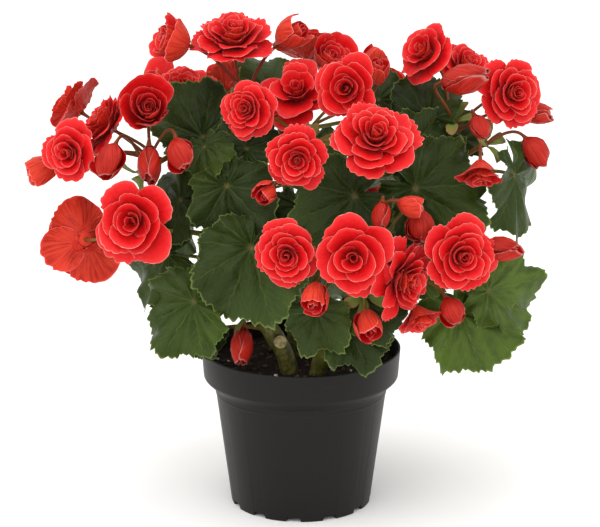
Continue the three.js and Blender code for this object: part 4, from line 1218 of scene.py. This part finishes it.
class BEGONIA_OT_soil(bpy.types.Operator):
    """The soil, lumpy on top and filling the pot, with perlite and bark crumbs lying on it"""

    bl_idname = "begonia.soil"
    bl_label = "Soil"

    def execute(self, context):
        settings, pot = context.scene.begonia_soil, context.scene.begonia_pot
        floor_top = POT["floor"] + POT["floor_thickness"] + SOIL["floor_gap"]
        inside = lambda height: pot_inside(height, pot) - SOIL["wall_gap"]
        edge = inside(SOIL["edge_height"])
        angle = round_angles(SOIL_COLUMNS)
        radius = np.linspace(0, 1, SOIL_ROWS)[1:, None] * edge
        height = self.top(radius * np.cos(angle), radius * np.sin(angle), edge, settings)
        walls = np.array([[POT["collar_foot"]], [POT["shoulder_foot"]], [floor_top]])
        top, wall = lathe(radius, height, SOIL_COLUMNS), lathe(inside(walls), walls, SOIL_COLUMNS)
        middle = self.top(np.zeros(1), np.zeros(1), edge, settings)[0]
        surface = Surface()
        add_rings(surface, np.concatenate([top, wall])[::-1], [0, 0, floor_top], [0, 0, middle])
        surface.piece("soil_fill", soil_material(), ["soil"], "potting_soil")
        # Each kind of grain: how many, the range of their radii in mm, two colours, roughness, seed.
        grains = (
            ("perlite", settings.perlite, (1.0, 2.0), "#D9D6CE", "#F6F4EE", 0.8, 5),
            ("bark_crumbs", settings.bark, (0.6, 2.2), "#2A1A10", "#6B4A30", 0.85, 11),
        )
        for name, many, sizes, low, high, rough, seed in grains:
            draw = np.random.default_rng(seed)
            turn = draw.uniform(0, TURN, many)
            away = np.sqrt(draw.uniform(0.02, 0.97, many)) * (edge - 2)
            x, y = away * np.cos(turn), away * np.sin(turn)
            z = self.top(x, y, edge, settings) + 0.3
            made = Surface()
            for middle in np.stack([x, y, z], 1):
                self.grain(made, middle, draw.uniform(*sizes), draw)
            material = grain_material(name, low, high, rough)
            made.piece(name, material, (), "potting_soil", smooth_faces=False)
        return {"FINISHED"}

    @staticmethod
    def top(x, y, edge, settings):
        """The soil's height: highest in the middle, falling with the square of the distance, with
        lumps 13, 6 and 3 mm long that die out at the pot's wall."""
        away = np.clip((x**2 + y**2) / edge**2, 0, 1)
        lumps = waves(x, y, 13, 1) + 0.6 * waves(x, y, 6, 2) + 0.45 * waves(x, y, 3, 3)
        lumps = settings.lump / MM * lumps * (1.02 - away**8)
        return SOIL["middle_height"] - SOIL["fall"] * away + lumps

    @staticmethod
    def grain(surface, middle, size, draw):
        """A crumb: a ball of a few faces, stretched, with each point moved in or out."""
        up = np.linspace(0, np.pi, 5)[1:-1, None]
        ball = lathe(np.sin(up), -np.cos(up), 6) * draw.uniform(0.75, 1.2, (3, 6, 1))
        stretch = draw.uniform(0.6, 1.4, 3) * [1, 1, 0.6] * size * 0.8
        low, high = np.array([[0, 0, -1], [0, 0, 1]]) * stretch + middle
        add_rings(surface, ball * stretch + middle, low, high)


def swollen(radii, joints, amount):
    """The radii with a soft swelling, a bell curve, at each joint's share of the length."""
    share = np.linspace(0, 1, len(radii))
    return radii * (1 + amount * sum(np.exp(-(((share - joint) / 0.03) ** 2)) for joint in joints))


class BEGONIA_OT_stalks(bpy.types.Operator):
    """The stems with their petioles, flower stalks and the cut stub"""

    bl_idname = "begonia.stalks"
    bl_label = "Stems and stalks"

    def execute(self, context):
        material = stalk_material()
        main, share, near = (np.linspace(0, 1, points) for points in STALK_POINTS)
        for stem in STEMS:
            surface, path = Surface(), stem_path(stem)
            joints = [leaf[0] for leaf in stem["leaves"]]
            radii = swollen(np.linspace(*stem["radii"], len(main)), joints, 0.12)
            radii = radii * (1 - 0.35 * smooth(main, 0.94, 1))
            line, old = along_path(path, main), 1 - 0.6 * main
            add_tube(surface, line, radii, SIDES["stem"], red=0.05, old=old, cut=0)
            if "stub" in stem:
                line = np.linspace(along_path(path, stem["stub"]["from"])[0], stem["stub"]["end"], 12)
                line = np.insert(line, -1, line[-1] - 0.08 * unit(line[-1] - line[0]), axis=0)
                radii, cut = np.append(np.linspace(4.6, 4.2, 12), 3.95), np.append(np.zeros(12), 0.7)
                add_tube(surface, line, radii, SIDES["stem"], red=0.02, old=0.9, cut=cut)
            for k, leaf in enumerate(stem["leaves"]):
                line = along_path(petiole_path(path, leaf), share)
                radii = 1.6 + 0.5 * np.exp(-share * 9) - 0.5 * share
                flush = 0.12 + 0.35 * chance(k + 0.6) + 0.3 * smooth(share, 0.8, 1)
                add_tube(surface, line, radii, SIDES["petiole"], red=flush, **YOUNG)
            for spray in stem["sprays"]:
                peduncle, red = peduncle_path(path, spray), spray["red"]
                line, radii = along_path(peduncle, share), swollen(2.0 - 0.4 * share, [0.97], 0.25)
                add_tube(surface, line, radii, SIDES["peduncle"], red=red * 0.8, **YOUNG)
                radii = 1.05 + 0.25 * np.exp(-near * 8) + 0.7 * smooth(near, 0.93, 1)
                flush = red + (0.9 - red) * smooth(near, 0.6, 1)
                for order, flower in enumerate(spray["flowers"]):
                    line = along_path(pedicel_path(peduncle, order, flower), near)
                    add_tube(surface, line, radii, SIDES["pedicel"], red=flush, **YOUNG)
            surface.piece(stem["name"] + "_stalks", material, [stem["name"]], "leaf_and_stem")
        return {"FINISHED"}


class BEGONIA_OT_leaves(bpy.types.Operator):
    """The leaf blades, each a toothed, veined, lopsided heart"""

    bl_idname = "begonia.leaves"
    bl_label = "Leaves"

    def execute(self, context):
        settings = context.scene.begonia_leaf
        material = leaf_material(settings)
        for order, stem in enumerate(STEMS):
            surface = Surface()
            for k, leaf in enumerate(stem["leaves"]):
                add_leaf(surface, leaf, 10 * order + k, settings)
            name = stem["name"]
            surface.piece(name + "_blades", material, [name], "leaf_and_stem", BLADE_MAP)
        return {"FINISHED"}


class BEGONIA_OT_bracts(bpy.types.Operator):
    """The small scales where each flower stalk forks, four to a fork"""

    bl_idname = "begonia.bracts"
    bl_label = "Bracts"

    def execute(self, context):
        surface, seed = Surface(), 0
        for stem in STEMS:
            path = stem_path(stem)
            for spray in stem["sprays"]:
                out = path_direction(peduncle_path(path, spray), 0.99)
                right = unit(np.cross(out, [0.3, 0.2, 1]))
                basis = np.stack([right, np.cross(out, right), out])
                seat = np.array(spray["fork"], float) - 2 * out
                place = lambda points: points @ basis + seat
                for k in range(4):
                    seed += 1
                    size = {
                        **BRACT, "tip": 84 + 40 * chance(seed), "length": 13 + 5 * chance(seed + 0.4),
                        "turn": TURN * (k / 4 + 0.1 * chance(seed)),
                    }
                    add_petal(surface, size, 5000 + seed, PETAL_ROWS, 11, place, 0.5)
        surface.piece("bracts", bract_material(), (), "leaf_and_stem", PETAL_MAP)
        return {"FINISHED"}


def flowers(shut):
    """The rows of the shut buds or of the other flowers, each with its number in the plan as seed."""
    rows = [flower for stem in STEMS for spray in stem["sprays"] for flower in spray["flowers"]]
    return [(seed, flower) for seed, flower in enumerate(rows, 1) if (flower[1] == "bud") == shut]


class BEGONIA_OT_flowers(bpy.types.Operator):
    """The open, cupped and opening flowers, each a spiral of scalloped petals"""

    bl_idname = "begonia.flowers"
    bl_label = "Flowers"

    def execute(self, context):
        settings = context.scene.begonia_flower
        material = petal_material(settings)
        for seed, flower in flowers(shut=False):
            surface = open_flower(flower, seed, settings)
            surface.piece(flower[0] + "_petals", material, [flower[0]], "petals", PETAL_MAP)
        return {"FINISHED"}


class BEGONIA_OT_buds(bpy.types.Operator):
    """The shut buds, each of four broad petals pressed round a closed body"""

    bl_idname = "begonia.buds"
    bl_label = "Shut buds"

    def execute(self, context):
        settings = context.scene.begonia_flower
        material = bud_material(settings)
        for seed, flower in flowers(shut=True):
            surface = shut_bud(flower, seed, settings)
            surface.piece(flower[0] + "_skin", material, [flower[0]], "bud_petals", PETAL_MAP)
        return {"FINISHED"}


class BEGONIA_OT_stage(bpy.types.Operator):
    """A pale floor, soft studio light and the camera"""

    bl_idname = "begonia.stage"
    bl_label = "Stage"

    def execute(self, context):
        settings, scene = context.scene.begonia_stage, context.scene
        mesh = bpy.data.meshes.new("floor")
        sides = ((-1, -1), (1, -1), (1, 1), (-1, 1))
        mesh.from_pydata([(FLOOR_REACH * x, FLOOR_REACH * y, 0) for x, y in sides], [], [(0, 1, 2, 3)])
        mesh.materials.append(floor_material(settings))
        floor = bpy.data.objects.new("floor", mesh)
        scene.collection.objects.link(floor)
        for name, towards, strength in LAMPS:
            lamp = bpy.data.lights.new(name, "SUN")
            lamp.energy, lamp.angle = strength, math.radians(LAMP_WIDTH)
            holder = bpy.data.objects.new(name, lamp)
            holder.rotation_euler = Vector(towards).to_track_quat("Z", "Y").to_euler()
            scene.collection.objects.link(holder)
        world = bpy.data.worlds.new("studio")
        world.use_nodes = True
        sky = world.node_tree.nodes["Background"].inputs
        sky["Color"].default_value, sky["Strength"].default_value = (1, 1, 1, 1), SKY_STRENGTH
        scene.world = world
        scene.view_settings.view_transform = "Standard"
        up = settings.elevation
        back = Vector((0, -math.cos(up), math.sin(up)))
        lens = bpy.data.cameras.new("camera")
        lens.sensor_width, lens.lens = SENSOR_WIDTH, FOCAL_LENGTH
        lens.shift_x, lens.shift_y = FRAME_SHIFT
        lens.clip_end = 60
        camera = bpy.data.objects.new("camera", lens)
        camera.location = Vector((0, 0, AIM_HEIGHT)) + back * settings.distance
        camera.rotation_euler = back.to_track_quat("Z", "Y").to_euler()
        scene.collection.objects.link(camera)
        scene.camera = camera
        return {"FINISHED"}


GROUPS = {
    "begonia_pot": PotSettings, "begonia_soil": SoilSettings, "begonia_leaf": LeafSettings,
    "begonia_flower": FlowerSettings, "begonia_stage": StageSettings,
}
OPERATORS = (
    BEGONIA_OT_stage, BEGONIA_OT_pot, BEGONIA_OT_soil, BEGONIA_OT_stalks, BEGONIA_OT_leaves,
    BEGONIA_OT_bracts, BEGONIA_OT_flowers, BEGONIA_OT_buds,
)


class BEGONIA_PT_panel(bpy.types.Panel):
    """The steps and their settings"""

    bl_idname = "BEGONIA_PT_panel"
    bl_label = "Potted begonia"
    bl_space_type = "VIEW_3D"
    bl_region_type = "UI"
    bl_category = "Begonia"

    def draw(self, context):
        for name, group in GROUPS.items():
            box = self.layout.box()
            for field in group.__annotations__:
                box.prop(getattr(context.scene, name), field)
        for operator in OPERATORS:
            self.layout.operator(operator.bl_idname)


def register():
    for kind in (*GROUPS.values(), *OPERATORS, BEGONIA_PT_panel):
        bpy.utils.register_class(kind)
    for name, group in GROUPS.items():
        setattr(bpy.types.Scene, name, bpy.props.PointerProperty(type=group))


def unregister():
    for name in GROUPS:
        delattr(bpy.types.Scene, name)
    for kind in (BEGONIA_PT_panel, *reversed(OPERATORS), *GROUPS.values()):
        bpy.utils.unregister_class(kind)


def main():
    register()
    for operator in OPERATORS:
        group, name = operator.bl_idname.split(".")
        getattr(getattr(bpy.ops, group), name)()
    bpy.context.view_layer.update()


if __name__ == "__main__":
    main()
